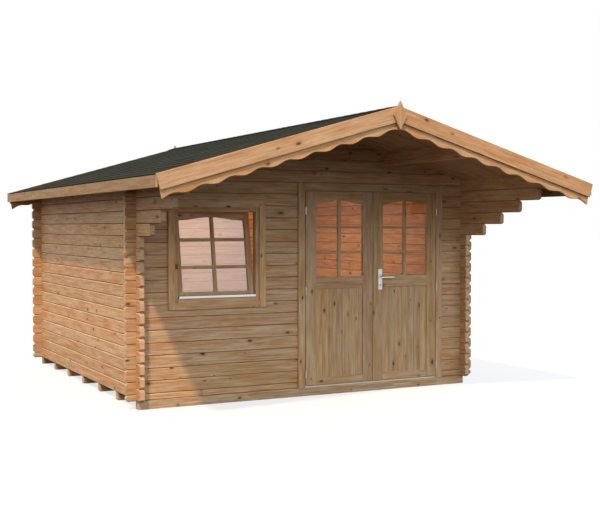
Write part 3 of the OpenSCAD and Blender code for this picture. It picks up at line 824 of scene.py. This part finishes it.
def dress(node: str, finish: Finish, slot: Slot, body: str = CABIN, eased: float = 0.0,
          along: Vector | None = None, joints: JointShade = JointShade()) -> None:
    """Makes a timber piece from a CAD node, with grain in every board.

    Args:
        node: CAD node that is copied and stood for.
        finish: Finish of the piece.
        slot: Its material slot.
        body: Body that it rides on.
        eased: Width that its edges are eased by, in metres.
        along: Way of the grain where the edges don't give it.
        joints: How much painted shade and painted highlight the bevels along joints get.
    """
    bm = cad_copy(node)
    if eased:
        ease(bm, eased)
    paint_grain(bm, node, along, joints)
    piece(f"{node}_planed", bm, finish, body, slot, [node])


def finish_node(node: str, finish: Finish) -> None:
    """Gives a CAD node that keeps its shape its finish.

    Args:
        node: Name of the CAD node.
        finish: Its finish.
    """
    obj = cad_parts[node]
    for place in obj.material_slots:
        place.material = finish.material()
    LOG.info("%s: finished as %s", node, finish.name)


def sawn_boards(node: str, across: Axis, width: float, joint: float, bevel: float) -> BMesh:
    """Saws a CAD sheet into boards with V-joints between them.

    Args:
        node: CAD node of the sheet.
        across: Direction across the boards.
        width: About how wide a board is, in metres.
        joint: Gap between boards.
        bevel: Width of the bevel along the joints.

    Returns:
        New bmesh of the separate boards.
    """
    sheet = cad_copy(node)
    axis = Vector(across.value)
    low, high = (corner.dot(axis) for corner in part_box(node))
    count = max(1, round((high - low) / width))
    step = (high - low) / count
    boards = bmesh.new()
    for number in range(count):
        part = sheet.copy()
        sides = []
        if number > 0:
            sides.append((low + number * step + joint / 2, True))
        if number < count - 1:
            sides.append((low + (number + 1) * step - joint / 2, False))
        for at, keep_above in sides:
            cut = bmesh.ops.bisect_plane(
                part, geom=part.verts[:] + part.edges[:] + part.faces[:], dist=ON_PLANE, plane_co=axis * at,
                plane_no=axis, clear_inner=keep_above, clear_outer=not keep_above)["geom_cut"]
            bmesh.ops.holes_fill(part, edges=[e for e in cut if isinstance(e, BMEdge)], sides=0)
        rims = [e for e in part.edges
                if any(all(abs(v.co.dot(axis) - at) < LEVEL for v in e.verts) for at, _ in sides)]
        ease(part, bevel, 1, rims)
        join(boards, part)
    sheet.free()
    return boards


@dataclass
class Base:
    """Bearers on the ground and the boarded floor on them."""

    board_w: float = 95 * MM
    joint: float = 0.6 * MM
    bevel: float = 1.5 * MM
    bearer_ease: float = 2 * MM

    def build(self) -> None:
        """Dresses the bearers and lays the floor boards."""
        dress("floor_bearers", SAWN_BEARERS, Slot.BEARERS, eased=self.bearer_ease)
        boards = sawn_boards("floor_boards", Axis.X, self.board_w, self.joint, self.bevel)
        paint_grain(boards, "floor_boards")
        piece("floor_boards_laid", boards, SPRUCE_BOARDS, CABIN, Slot.BOARDS, ["floor_boards"])


@dataclass
class LogWalls:
    """Walls, gables and purlins of planed logs. The joints under the canopy get less painted shade, and no
    painted highlight.
    """

    open_walls: tuple[str, ...] = ("left_wall_logs", "right_wall_logs", "back_wall_logs", "back_gable_logs")
    sheltered_walls: tuple[str, ...] = (
        "front_wall_left", "front_wall_right", "front_wall_over_door", "front_gable_logs")
    purlins: tuple[str, ...] = ("ridge_purlin", "left_purlin", "right_purlin")
    purlin_ease: float = 2 * MM
    # Painted shade under the joints' bevels, heaviest outside on the sunlit walls, and painted highlight on
    # the bevels that look up
    open_joints: JointShade = JointShade(outside=1.0, inside=0.45, painted_highlight=0.3)
    sheltered_joints: JointShade = JointShade(outside=0.45, inside=0.45)

    def build(self) -> None:
        """Dresses each wall and purlin."""
        for wall in self.open_walls:
            dress(wall, SPRUCE_LOGS, Slot.LOGS, joints=self.open_joints)
        for wall in self.sheltered_walls:
            dress(wall, SPRUCE_LOGS, Slot.LOGS, joints=self.sheltered_joints)
        for purlin in self.purlins:
            dress(purlin, SPRUCE_LOGS, Slot.LOGS, eased=self.purlin_ease)


@dataclass
class Roof:
    """Roof deck of boards and its covering of shingles."""

    board_w: float = 88 * MM
    board_joint: float = 0.6 * MM
    board_bevel: float = 4 * MM
    covering_t: float = 8 * MM
    underlay_low: float = 0.2 * MM
    underlay_high: float = 1.6 * MM
    tab_w: float = 333 * MM
    tab_slot: float = 8 * MM
    tab_t: float = 2.8 * MM
    tab_corner: float = 6 * MM
    exposure: float = 142 * MM
    lap: float = 42 * MM
    lift_low: float = 6.0 * MM
    lift_high: float = 2.0 * MM
    lift_spread_mm: float = 0.2
    # How near to its lower edge the corners of a tab are looked for
    eave_reach: float = 1 * MM
    cap_half_w: float = 125 * MM

    def build(self) -> None:
        """Lays the deck and the shingles on both slopes, and the caps on the ridge."""
        for side in Side:
            deck = f"{side.value}_roof_boards"
            boards = sawn_boards(deck, Axis.Y, self.board_w, self.board_joint, self.board_bevel)
            paint_grain(boards, deck)
            piece(f"{deck}_laid", boards, SPRUCE_BOARDS, CABIN, Slot.BOARDS, [deck])
            self.lay_shingles(side)
        self.cap_ridge()

    def lay_shingles(self, side: Side) -> None:
        """Lays courses of tabs from the eave to the ridge over an underlay.

        Args:
            side: Slope that is covered.
        """
        node = f"{side.value}_shingles"
        low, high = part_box(node)
        slope = max(abs(low.x), abs(high.x)) / math.cos(ROOF_PITCH)
        rng = random.Random(node)
        bm = bmesh.new()
        add_box(bm, (self.covering_t, low.y, self.underlay_low), (slope, high.y, self.underlay_high))
        corners = []
        courses = math.ceil(slope / self.exposure)
        for course in range(courses):
            eave_edge = slope - course * self.exposure
            length = min(self.exposure + self.lap, eave_edge - self.covering_t)
            tilt = Matrix.Rotation(-(self.lift_low - self.lift_high) / length, 4, "Y")
            shift = self.tab_w / 2 * (course % 2)
            for number in range(math.ceil((high.y - low.y + shift) / self.tab_w)):
                start = max(low.y, low.y - shift + number * self.tab_w + self.tab_slot / 2)
                stop = min(high.y, low.y - shift + (number + 1) * self.tab_w - self.tab_slot / 2)
                if stop - start < self.tab_slot:
                    continue
                lift = (self.lift_low + self.lift_high) / 2
                lift += rng.uniform(-self.lift_spread_mm, self.lift_spread_mm) * MM
                tab = add_box(bm, (eave_edge - length, start, lift), (eave_edge, stop, lift + self.tab_t),
                              tilt)
                corners += [e for v in tab for e in v.link_edges
                            if all(p.co.x > eave_edge - self.eave_reach and abs(p.co.y - v.co.y) < IN_LINE
                                   for p in e.verts)]
        ease(bm, self.tab_corner, 1, list(dict.fromkeys(corners)))
        turn = math.pi if side is Side.LEFT else 0.0
        foot = high.z - self.covering_t / math.cos(ROOF_PITCH)
        place = (Matrix.Translation((0.0, 0.0, foot)) @ Matrix.Rotation(turn, 4, "Z")
                 @ Matrix.Rotation(ROOF_PITCH, 4, "Y"))
        bmesh.ops.transform(bm, matrix=place, verts=bm.verts)
        paint_grain(bm, node)
        piece(f"{node}_laid", bm, SHINGLE, CABIN, Slot.SHINGLES, [node])

    def cap_ridge(self) -> None:
        """Lays overlapping caps along the ridge from the rear to the front."""
        low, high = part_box("left_shingles")
        length = self.exposure + self.lap
        tilt = Matrix.Rotation((self.lift_low - self.lift_high) / length, 4, "X")
        half = self.cap_half_w * math.cos(ROOF_PITCH)
        foot = high.z + self.tab_t
        bm = bmesh.new()
        count = math.ceil((high.y - low.y) / self.exposure)
        for number in range(count):
            front = low.y + number * self.exposure
            back = min(front + length, high.y)
            add_box(bm, (-half, front, 0.0), (half, back, self.tab_t), tilt)
        bmesh.ops.bisect_plane(bm, geom=bm.verts[:] + bm.edges[:] + bm.faces[:], plane_co=(0, 0, 0),
                               plane_no=(1, 0, 0))
        for vert in bm.verts:
            vert.co.z += foot - abs(vert.co.x) * math.tan(ROOF_PITCH)
        paint_grain(bm, "ridge_caps")
        piece("ridge_caps", bm, SHINGLE, CABIN, Slot.SHINGLES)


@dataclass
class Screws:
    """Countersunk screw heads, gathered into one piece for each body."""

    radius: float = 4.5 * MM
    proud: float = 0.8 * MM
    sides: int = 12
    # Radius of the top of a head as a share of that of its foot
    crown: float = 0.7

    def add(self, bm: BMesh, spots: Sequence[Vector], out: Vector) -> None:
        """Adds heads at points of a face.

        Args:
            bm: Bmesh that gets the heads.
            spots: Points on the face.
            out: Way that the face looks.
        """
        turn = UP.rotation_difference(out).to_matrix().to_4x4()
        for spot in spots:
            place = Matrix.Translation(spot + out * self.proud / 2) @ turn
            bmesh.ops.create_cone(bm, cap_ends=True, segments=self.sides, radius1=self.radius,
                                  radius2=self.radius * self.crown, depth=self.proud, matrix=place)


@dataclass
class RoofTrim:
    """Fascias, bargeboards, scalloped boards and finials, with the screws that hold them."""

    edge: float = 2.5 * MM
    screw_from_edge: float = 28 * MM
    # Distances of the pairs of screws from the ridge
    screw_rows: tuple[float, ...] = (0.2, 0.84, 1.45, 2.05)
    fascia_step: float = 600 * MM

    def build(self) -> None:
        """Dresses the trim and drives its screws."""
        for side in Side:
            dress(f"{side.value}_eave_fascia", SPRUCE_FASCIA, Slot.TRIM, eased=self.edge)
        boards = [f"front_{side.value}_bargeboard" for side in Side]
        boards += [f"front_{side.value}_scalloped_board" for side in Side]
        boards += ["rear_bargeboards", "rear_scalloped_boards"]
        for board in boards:
            dress(board, SPRUCE_TRIM, Slot.TRIM, eased=self.edge)
        for finial in ("front_finial", "rear_finial"):
            dress(finial, SPRUCE_TRIM, Slot.TRIM, eased=self.edge, along=UP)
        self.drive_screws()

    def drive_screws(self) -> None:
        """Sets pairs of screws across the bargeboards, and along the fascias."""
        bm = bmesh.new()
        screws = Screws()
        fall = math.tan(ROOF_PITCH)
        left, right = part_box("front_left_bargeboard"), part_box("front_right_bargeboard")
        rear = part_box("rear_bargeboards")
        depth = right[1].z - right[0].z - (right[1].x - right[0].x) * fall
        for face, out in ((left[0].y, -1.0), (rear[1].y, 1.0)):
            spots = [Vector((side * x, face, right[1].z - (x - right[0].x) * fall - down))
                     for side in (-1, 1) for x in self.screw_rows
                     for down in (self.screw_from_edge, depth - self.screw_from_edge)]
            screws.add(bm, spots, Vector((0.0, out, 0.0)))
        for side, way in ((Side.LEFT, -1.0), (Side.RIGHT, 1.0)):
            low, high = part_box(f"{side.value}_eave_fascia")
            count = round((high.y - low.y) / self.fascia_step)
            gap = (high.y - low.y) / count
            face = low.x if way < 0 else high.x
            middle = (low.z + high.z) / 2
            spots = [Vector((face, low.y + (number + 0.5) * gap, middle)) for number in range(count)]
            screws.add(bm, spots, Vector((way, 0.0, 0.0)))
        piece("trim_screws", bm, PASSIVATED, CABIN, Slot.STEEL)


@dataclass
class Glazing:
    """Bars and beads on both faces of a pane, set out from the pane itself."""

    pane: str
    body: str
    bar_w: float = 34 * MM
    rail_w: float = 24 * MM
    bar_rise: float = 13 * MM
    bar_round: float = 5 * MM
    bead_w: float = 9 * MM
    bead_rise: float = 10 * MM
    bead_ease: float = 3.5 * MM
    # How nearly a face of the pane has to look out for its bead, and the least turn of a bead's outer edges
    facing: float = 0.9
    rim_turn: float = math.radians(45)
    seat: float = 0.2 * MM
    # Heights of the rails as shares of the pane's height
    rail_shares: tuple[float, ...] = (0.315, 0.645)

    def build(self) -> None:
        """Makes the bars and beads and sets them on the pane's body."""
        points = [vert.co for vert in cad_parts[self.pane].data.vertices]
        face = max(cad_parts[self.pane].data.polygons, key=lambda p: p.area)
        out = face.normal.copy() if face.normal.y < 0 else -face.normal
        right = Vector((1.0, 0.0, 0.0))
        up = out.cross(right)
        local = Matrix((right, up, out)).to_4x4()
        low = Vector([min(p.dot(axis) for p in points) for axis in (right, up, out)])
        high = Vector([max(p.dot(axis) for p in points) for axis in (right, up, out)])
        bars = bmesh.new()
        for base, way in ((high.z, 1.0), (low.z, -1.0)):
            self.add_bars(bars, low, high, base, way)
        bmesh.ops.transform(bars, matrix=local.inverted(), verts=bars.verts)
        beads = bmesh.new()
        for way in (out, -out):
            join(beads, self.bead_ring(way))
        join(bars, beads)
        paint_grain(bars, self.pane)
        piece(f"{self.pane}_bars", bars, PINE_JOINERY, self.body, Slot.JOINERY)

    def add_bars(self, bm: BMesh, low: Vector, high: Vector, base: float, way: float) -> None:
        """Adds the bars of one face: an upright, and rails that butt against it.

        Args:
            bm: Bmesh that gets the bars, in the pane's own axes.
            low: Lowest corner of the pane.
            high: Highest corner of the pane.
            base: Distance of the face along the pane's normal.
            way: 1 for the outer face and -1 for the inner one.
        """
        near, far = sorted((base + way * self.seat, base + way * self.bar_rise))
        middle = (low.x + high.x) / 2
        half = self.bar_w / 2
        verts = add_box(bm, (middle - half, low.y, near), (middle + half, high.y, far))
        for share in self.rail_shares:
            level = low.y + share * (high.y - low.y)
            under, over = level - self.rail_w / 2, level + self.rail_w / 2
            for start, stop in ((low.x, middle - half - self.seat), (middle + half + self.seat, high.x)):
                verts += add_box(bm, (start, under, near), (stop, over, far))
        top = base + way * self.bar_rise
        rims = {e for v in verts for e in v.link_edges if all(abs(p.co.z - top) < LEVEL for p in e.verts)}
        ease(bm, self.bar_round, edges=sorted(rims, key=lambda e: tuple(e.verts[0].co + e.verts[1].co)))

    def bead_ring(self, out: Vector) -> BMesh:
        """Makes the bead round one face of the pane.

        Args:
            out: Way that the face looks.

        Returns:
            New bmesh of the bead.
        """
        bm = cad_copy(self.pane)
        bm.normal_update()
        others = [f for f in bm.faces if f.normal.dot(out) < self.facing]
        bmesh.ops.delete(bm, geom=others, context="FACES")
        bmesh.ops.translate(bm, verts=bm.verts, vec=out * self.seat)
        inner = bm.faces[:]
        bmesh.ops.inset_region(bm, faces=inner, thickness=self.bead_w, use_even_offset=True)
        bmesh.ops.delete(bm, geom=inner, context="FACES_ONLY")
        ring = bmesh.ops.extrude_face_region(bm, geom=bm.faces[:], use_keep_orig=True)["geom"]
        bmesh.ops.translate(bm, verts=[g for g in ring if isinstance(g, BMVert)], vec=out * self.bead_rise)
        bmesh.ops.recalc_face_normals(bm, faces=bm.faces)
        top = max(v.co.dot(out) for v in bm.verts)
        rims = [e for e in bm.edges if all(v.co.dot(out) > top - LEVEL for v in e.verts)
                and e.calc_face_angle(0.0) > self.rim_turn]
        ease(bm, self.bead_ease, edges=rims)
        return bm


@dataclass
class Window:
    """Tilted window with its frame, casing, head stop and drip bar."""

    edge: float = 2 * MM
    bar_w: float = 36 * MM
    rail_w: float = 30 * MM
    rail_shares: tuple[float, ...] = (0.328, 0.693)
    stop_h: float = 22 * MM
    stop_d: float = 12 * MM
    stop_back: float = 6 * MM
    stop_gap: float = 0.2 * MM
    # Digits to which corners of the frame are told apart, in metres
    corner_digits: int = 5

    def build(self) -> None:
        """Dresses the joinery, glazes the sash, finishes the drip bar and sets the head stop."""
        dress("window_frame", PINE_JOINERY, Slot.JOINERY, eased=self.edge)
        dress("window_casing", PINE_CASING, Slot.JOINERY, eased=self.edge)
        dress("window_sash", PINE_JOINERY, Slot.JOINERY, eased=self.edge)
        finish_node("window_glass", WINDOW_GLASS)
        finish_node("window_drip_bar", ALUMINIUM)
        Glazing("window_glass", CABIN, self.bar_w, self.rail_w, rail_shares=self.rail_shares).build()
        self.stop_head()

    def stop_head(self) -> None:
        """Sets the stop that the sash closes against under the head of the frame."""
        corners = [vert.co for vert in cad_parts["window_frame"].data.vertices]
        widths = sorted({round(co.x, self.corner_digits) for co in corners})
        heights = sorted({round(co.z, self.corner_digits) for co in corners})
        left, right = widths[1], widths[-2]
        head = heights[-2] - self.stop_gap
        front = min(co.y for co in corners) + self.stop_back
        stop = bmesh.new()
        add_box(stop, (left + self.stop_gap, front, head - self.stop_h),
                (right - self.stop_gap, front + self.stop_d, head))
        ease(stop, self.edge)
        paint_grain(stop, "window_head_stop")
        piece("window_head_stop", stop, PINE_JOINERY, CABIN, Slot.JOINERY)


@dataclass
class Doorway:
    """Frame, casing, threshold and fixed hinge halves of the doorway."""

    edge: float = 2 * MM

    def build(self) -> None:
        """Dresses the frame and casing and finishes the metal."""
        dress("door_frame", PINE_JOINERY, Slot.JOINERY, eased=self.edge)
        dress("door_casing", PINE_JOINERY, Slot.JOINERY, eased=self.edge)
        finish_node("door_threshold", WALKED_ALUMINIUM)
        finish_node("door_hinge_posts", ZINC)


@dataclass
class DoorLeaf:
    """One glazed leaf with a boarded panel."""

    side: Side
    edge: float = 2 * MM
    board_w: float = 75 * MM
    joint: float = 0.6 * MM
    bevel: float = 2.2 * MM
    lip_w: float = 2.4 * MM
    lip_d: float = 12 * MM
    lip_back: float = 1.5 * MM
    lip_ease: float = 0.8 * MM

    def build(self) -> None:
        """Dresses the leaf's frame, boards its panel, glazes it and edges it where the leaves meet."""
        body = f"{self.side.value}_leaf"
        dress(f"{body}_frame", PINE_JOINERY, Slot.JOINERY, body, self.edge)
        panel = f"{body}_panel"
        boards = sawn_boards(panel, Axis.X, self.board_w, self.joint, self.bevel)
        paint_grain(boards, panel)
        piece(f"{panel}_boards", boards, PINE_JOINERY, body, Slot.JOINERY, [panel])
        finish_node(f"{body}_glass", DOOR_GLASS)
        finish_node(f"{body}_hinges", ZINC)
        Glazing(f"{body}_glass", body).build()
        self.edge_leaf(body)

    def edge_leaf(self, body: str) -> None:
        """Sets a lip on the edge that meets the other leaf, which narrows the gap between them.

        Args:
            body: Body of the leaf.
        """
        low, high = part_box(f"{body}_frame")
        start = high.x if self.side is Side.LEFT else low.x - self.lip_w
        lip = bmesh.new()
        add_box(lip, (start, low.y + self.lip_back, low.z + self.edge),
                (start + self.lip_w, low.y + self.lip_back + self.lip_d, high.z - self.edge))
        ease(lip, self.lip_ease)
        paint_grain(lip, f"{body}_lip", UP)
        piece(f"{body}_meeting_lip", lip, PINE_JOINERY, body, Slot.JOINERY)


@dataclass
class Lock:
    """Handle plates, levers and keyhole of the right leaf."""

    body: str = "right_leaf"
    plate_edge: float = 1.5 * MM
    keyhole_r: float = 6.5 * MM
    slot_w: float = 7 * MM
    slot_h: float = 19 * MM
    below_lever: float = 77 * MM
    screw_r: float = 3.5 * MM
    screw_inset: float = 12 * MM
    hole_proud: float = 0.3 * MM
    slot_proud: float = 0.24 * MM

    def build(self) -> None:
        """Eases the plates, sets the keyholes and screws, and finishes the levers."""
        plates = cad_copy("handle_plates")
        ease(plates, self.plate_edge)
        piece("handle_plates_eased", plates, STEEL, self.body, Slot.STEEL, ["handle_plates"])
        finish_node("lever_handles", POLISHED_STEEL)
        low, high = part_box("handle_plates")
        lever_low, lever_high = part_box("lever_handles")
        middle = (low.x + high.x) / 2
        level = (lever_low.z + lever_high.z) / 2 - self.below_lever
        holes = bmesh.new()
        screws = bmesh.new()
        for face, way in ((low.y, -1.0), (high.y, 1.0)):
            out = Vector((0.0, way, 0.0))
            # A keyhole is a disc of painted shade, made as a screw's head is, over a slot of painted shade
            Screws(self.keyhole_r, self.hole_proud).add(holes, [Vector((middle, face, level))], out)
            near, far = sorted((face, face + way * self.slot_proud))
            add_box(holes, (middle - self.slot_w / 2, near, level - self.slot_h),
                    (middle + self.slot_w / 2, far, level))
            spots = [Vector((middle, face, height))
                     for height in (low.z + self.screw_inset, high.z - self.screw_inset)]
            Screws(self.screw_r).add(screws, spots, out)
        piece("keyholes", holes, KEYHOLE_PAINTED_SHADE, self.body, Slot.STEEL)
        piece("handle_plate_screws", screws, STEEL, self.body, Slot.STEEL)


@dataclass
class Studio:
    """Camera at the photograph's angle, sun and sky light, two lamps and a white floor."""

    camera_at: tuple[float, float, float] = (-4.7583, -10.0394, 1.649)
    camera_pan_deg: float = -27.37
    camera_dip_deg: float = 1.673
    lens_mm: float = 62.158
    sensor_mm: float = 36.0
    sun_way: tuple[float, float, float] = (0.82, 1.0, -1.63)
    sun_strength: float = 2.9
    sun_colour: str = "#FFE0C2"
    sun_size_deg: float = 2.5
    sky_colour: str = "#E6F2FC"
    left_sky_colour: str = "#D8D5CF"
    horizon_strength: float = 1.6
    sky_strength: float = 1.92
    # The sky brightens up to the first height, as the sine of its angle, and fades from the second one up
    dome_to: float = 0.35
    dome_from: float = 0.55
    zenith_strength: float = 0.5
    # Where the left part of the sky starts and is whole, as the sine of the angle from the middle
    left_from: float = -0.2
    left_to: float = -0.8
    room_lamp_w: float = 48.0
    room_lamp_colour: str = "#FFD9AE"
    room_lamp_size: tuple[float, float] = (1.4, 2.0)
    room_lamp_at: tuple[float, float, float] = (0.0, 0.9, 2.2)
    # A narrow lamp from the front reaches the steps of the logs on the right, deep under the canopy
    canopy_lamp_w: float = 0.5
    canopy_lamp_colour: str = "#F4F4F4"
    canopy_lamp_size: float = 1.0
    canopy_lamp_spread_deg: float = 18.0
    canopy_lamp_at: tuple[float, float, float] = (-4.0, -6.5, 1.0)
    canopy_lamp_to: tuple[float, float, float] = (1.8, -2.0, 2.05)
    floor_half: float = 60.0
    floor_drop: float = 0.5 * MM

    def build(self) -> None:
        """Sets up the view, the lights, the sky and the floor."""
        self.set_camera()
        self.light()
        self.set_sky()
        self.lay_floor()
        bpy.context.scene.view_settings.view_transform = "Standard"

    def set_camera(self) -> None:
        """Makes the camera."""
        camera = bpy.data.cameras.new("camera")
        camera.lens = self.lens_mm
        camera.sensor_width = self.sensor_mm
        camera.sensor_fit = "HORIZONTAL"
        obj = bpy.data.objects.new("camera", camera)
        obj.location = self.camera_at
        obj.rotation_euler = (math.radians(90 - self.camera_dip_deg), 0.0, math.radians(self.camera_pan_deg))
        bpy.context.scene.collection.objects.link(obj)
        bpy.context.scene.camera = obj

    def light(self) -> None:
        """Makes the sun, the lamp in the room and the narrow lamp under the canopy."""
        sun = bpy.data.lights.new("sun", "SUN")
        sun.energy = self.sun_strength
        sun.angle = math.radians(self.sun_size_deg)
        self.hang(sun, self.sun_colour, (0.0, 0.0, 0.0), self.sun_way)
        room = bpy.data.lights.new("room_lamp", "AREA")
        room.shape = "RECTANGLE"
        room.size, room.size_y = self.room_lamp_size
        room.energy = self.room_lamp_w
        self.hang(room, self.room_lamp_colour, self.room_lamp_at, (0.0, 0.0, -1.0))
        canopy = bpy.data.lights.new("canopy_lamp", "AREA")
        canopy.size = self.canopy_lamp_size
        canopy.spread = math.radians(self.canopy_lamp_spread_deg)
        canopy.energy = self.canopy_lamp_w
        self.hang(canopy, self.canopy_lamp_colour, self.canopy_lamp_at,
                  Vector(self.canopy_lamp_to) - Vector(self.canopy_lamp_at))

    def hang(self, light: Light, colour: str, at: Sequence[float], way: Sequence[float]) -> None:
        """Hangs a light in its place.

        Args:
            light: Light that is hung.
            colour: Its colour.
            at: Where it hangs.
            way: Way that it shines.
        """
        light.color = linear(colour)[:3]
        obj = bpy.data.objects.new(light.name, light)
        obj.location = at
        obj.rotation_euler = Vector(way).to_track_quat("-Z", "Y").to_euler()
        bpy.context.scene.collection.objects.link(obj)

    def set_sky(self) -> None:
        """Makes a soft sky that is dimmer and warmer on the left, and shows as white."""
        world = bpy.data.worlds.new("studio_sky")
        world.use_nodes = True
        tree = world.node_tree
        tree.nodes.clear()
        way = add_node(tree, "TexCoord", out="Generated")
        parts = add_node(tree, "SeparateXYZ", {0: way}).node.outputs
        rise = add_node(tree, "MapRange", {
            "Value": parts["Z"], "From Min": 0.0, "From Max": self.dome_to, "To Min": self.horizon_strength,
            "To Max": self.sky_strength})
        fall = add_node(tree, "MapRange", {
            "Value": parts["Z"], "From Min": self.dome_from, "From Max": 1.0, "To Min": self.sky_strength,
            "To Max": self.zenith_strength})
        strength = add_node(tree, "Math", {0: rise, 1: fall}, operation="MINIMUM")
        side = add_node(tree, "MapRange", {
            "Value": parts["X"], "From Min": self.left_from, "From Max": self.left_to},
            interpolation_type="SMOOTHSTEP")
        colour = add_node(tree, "Mix", {
            0: side, MIX_A: linear(self.sky_colour), MIX_B: linear(self.left_sky_colour)}, MIX_OUT,
            data_type="RGBA")
        sky = add_node(tree, "Background", {"Color": colour, "Strength": strength})
        white = add_node(tree, "Background", {"Color": linear(WHITE), "Strength": 1.0})
        shown = add_node(tree, "MixShader", {0: seen_directly(tree), 1: sky, 2: white})
        add_node(tree, "OutputWorld", {"Surface": shown})
        bpy.context.scene.world = world

    def lay_floor(self) -> None:
        """Lays the white floor."""
        bm = bmesh.new()
        bmesh.ops.create_grid(bm, x_segments=1, y_segments=1, size=self.floor_half,
                              matrix=Matrix.Translation((0.0, 0.0, -self.floor_drop)))
        mesh = bpy.data.meshes.new("studio_floor")
        bm.to_mesh(mesh)
        bm.free()
        mesh.materials.append(StudioPaper("white_studio_paper").material())
        obj = bpy.data.objects.new("studio_floor", mesh)
        bpy.context.scene.collection.objects.link(obj)


def main() -> None:
    """Builds the studio and each sub-assembly in order."""
    logging.basicConfig(level=logging.INFO, format="%(message)s")
    Studio().build()
    for assembly in (Base(), LogWalls(), Roof(), RoofTrim(), Window(), Doorway(), DoorLeaf(Side.LEFT),
                     DoorLeaf(Side.RIGHT), Lock()):
        assembly.build()


if __name__ == "__main__":
    main()
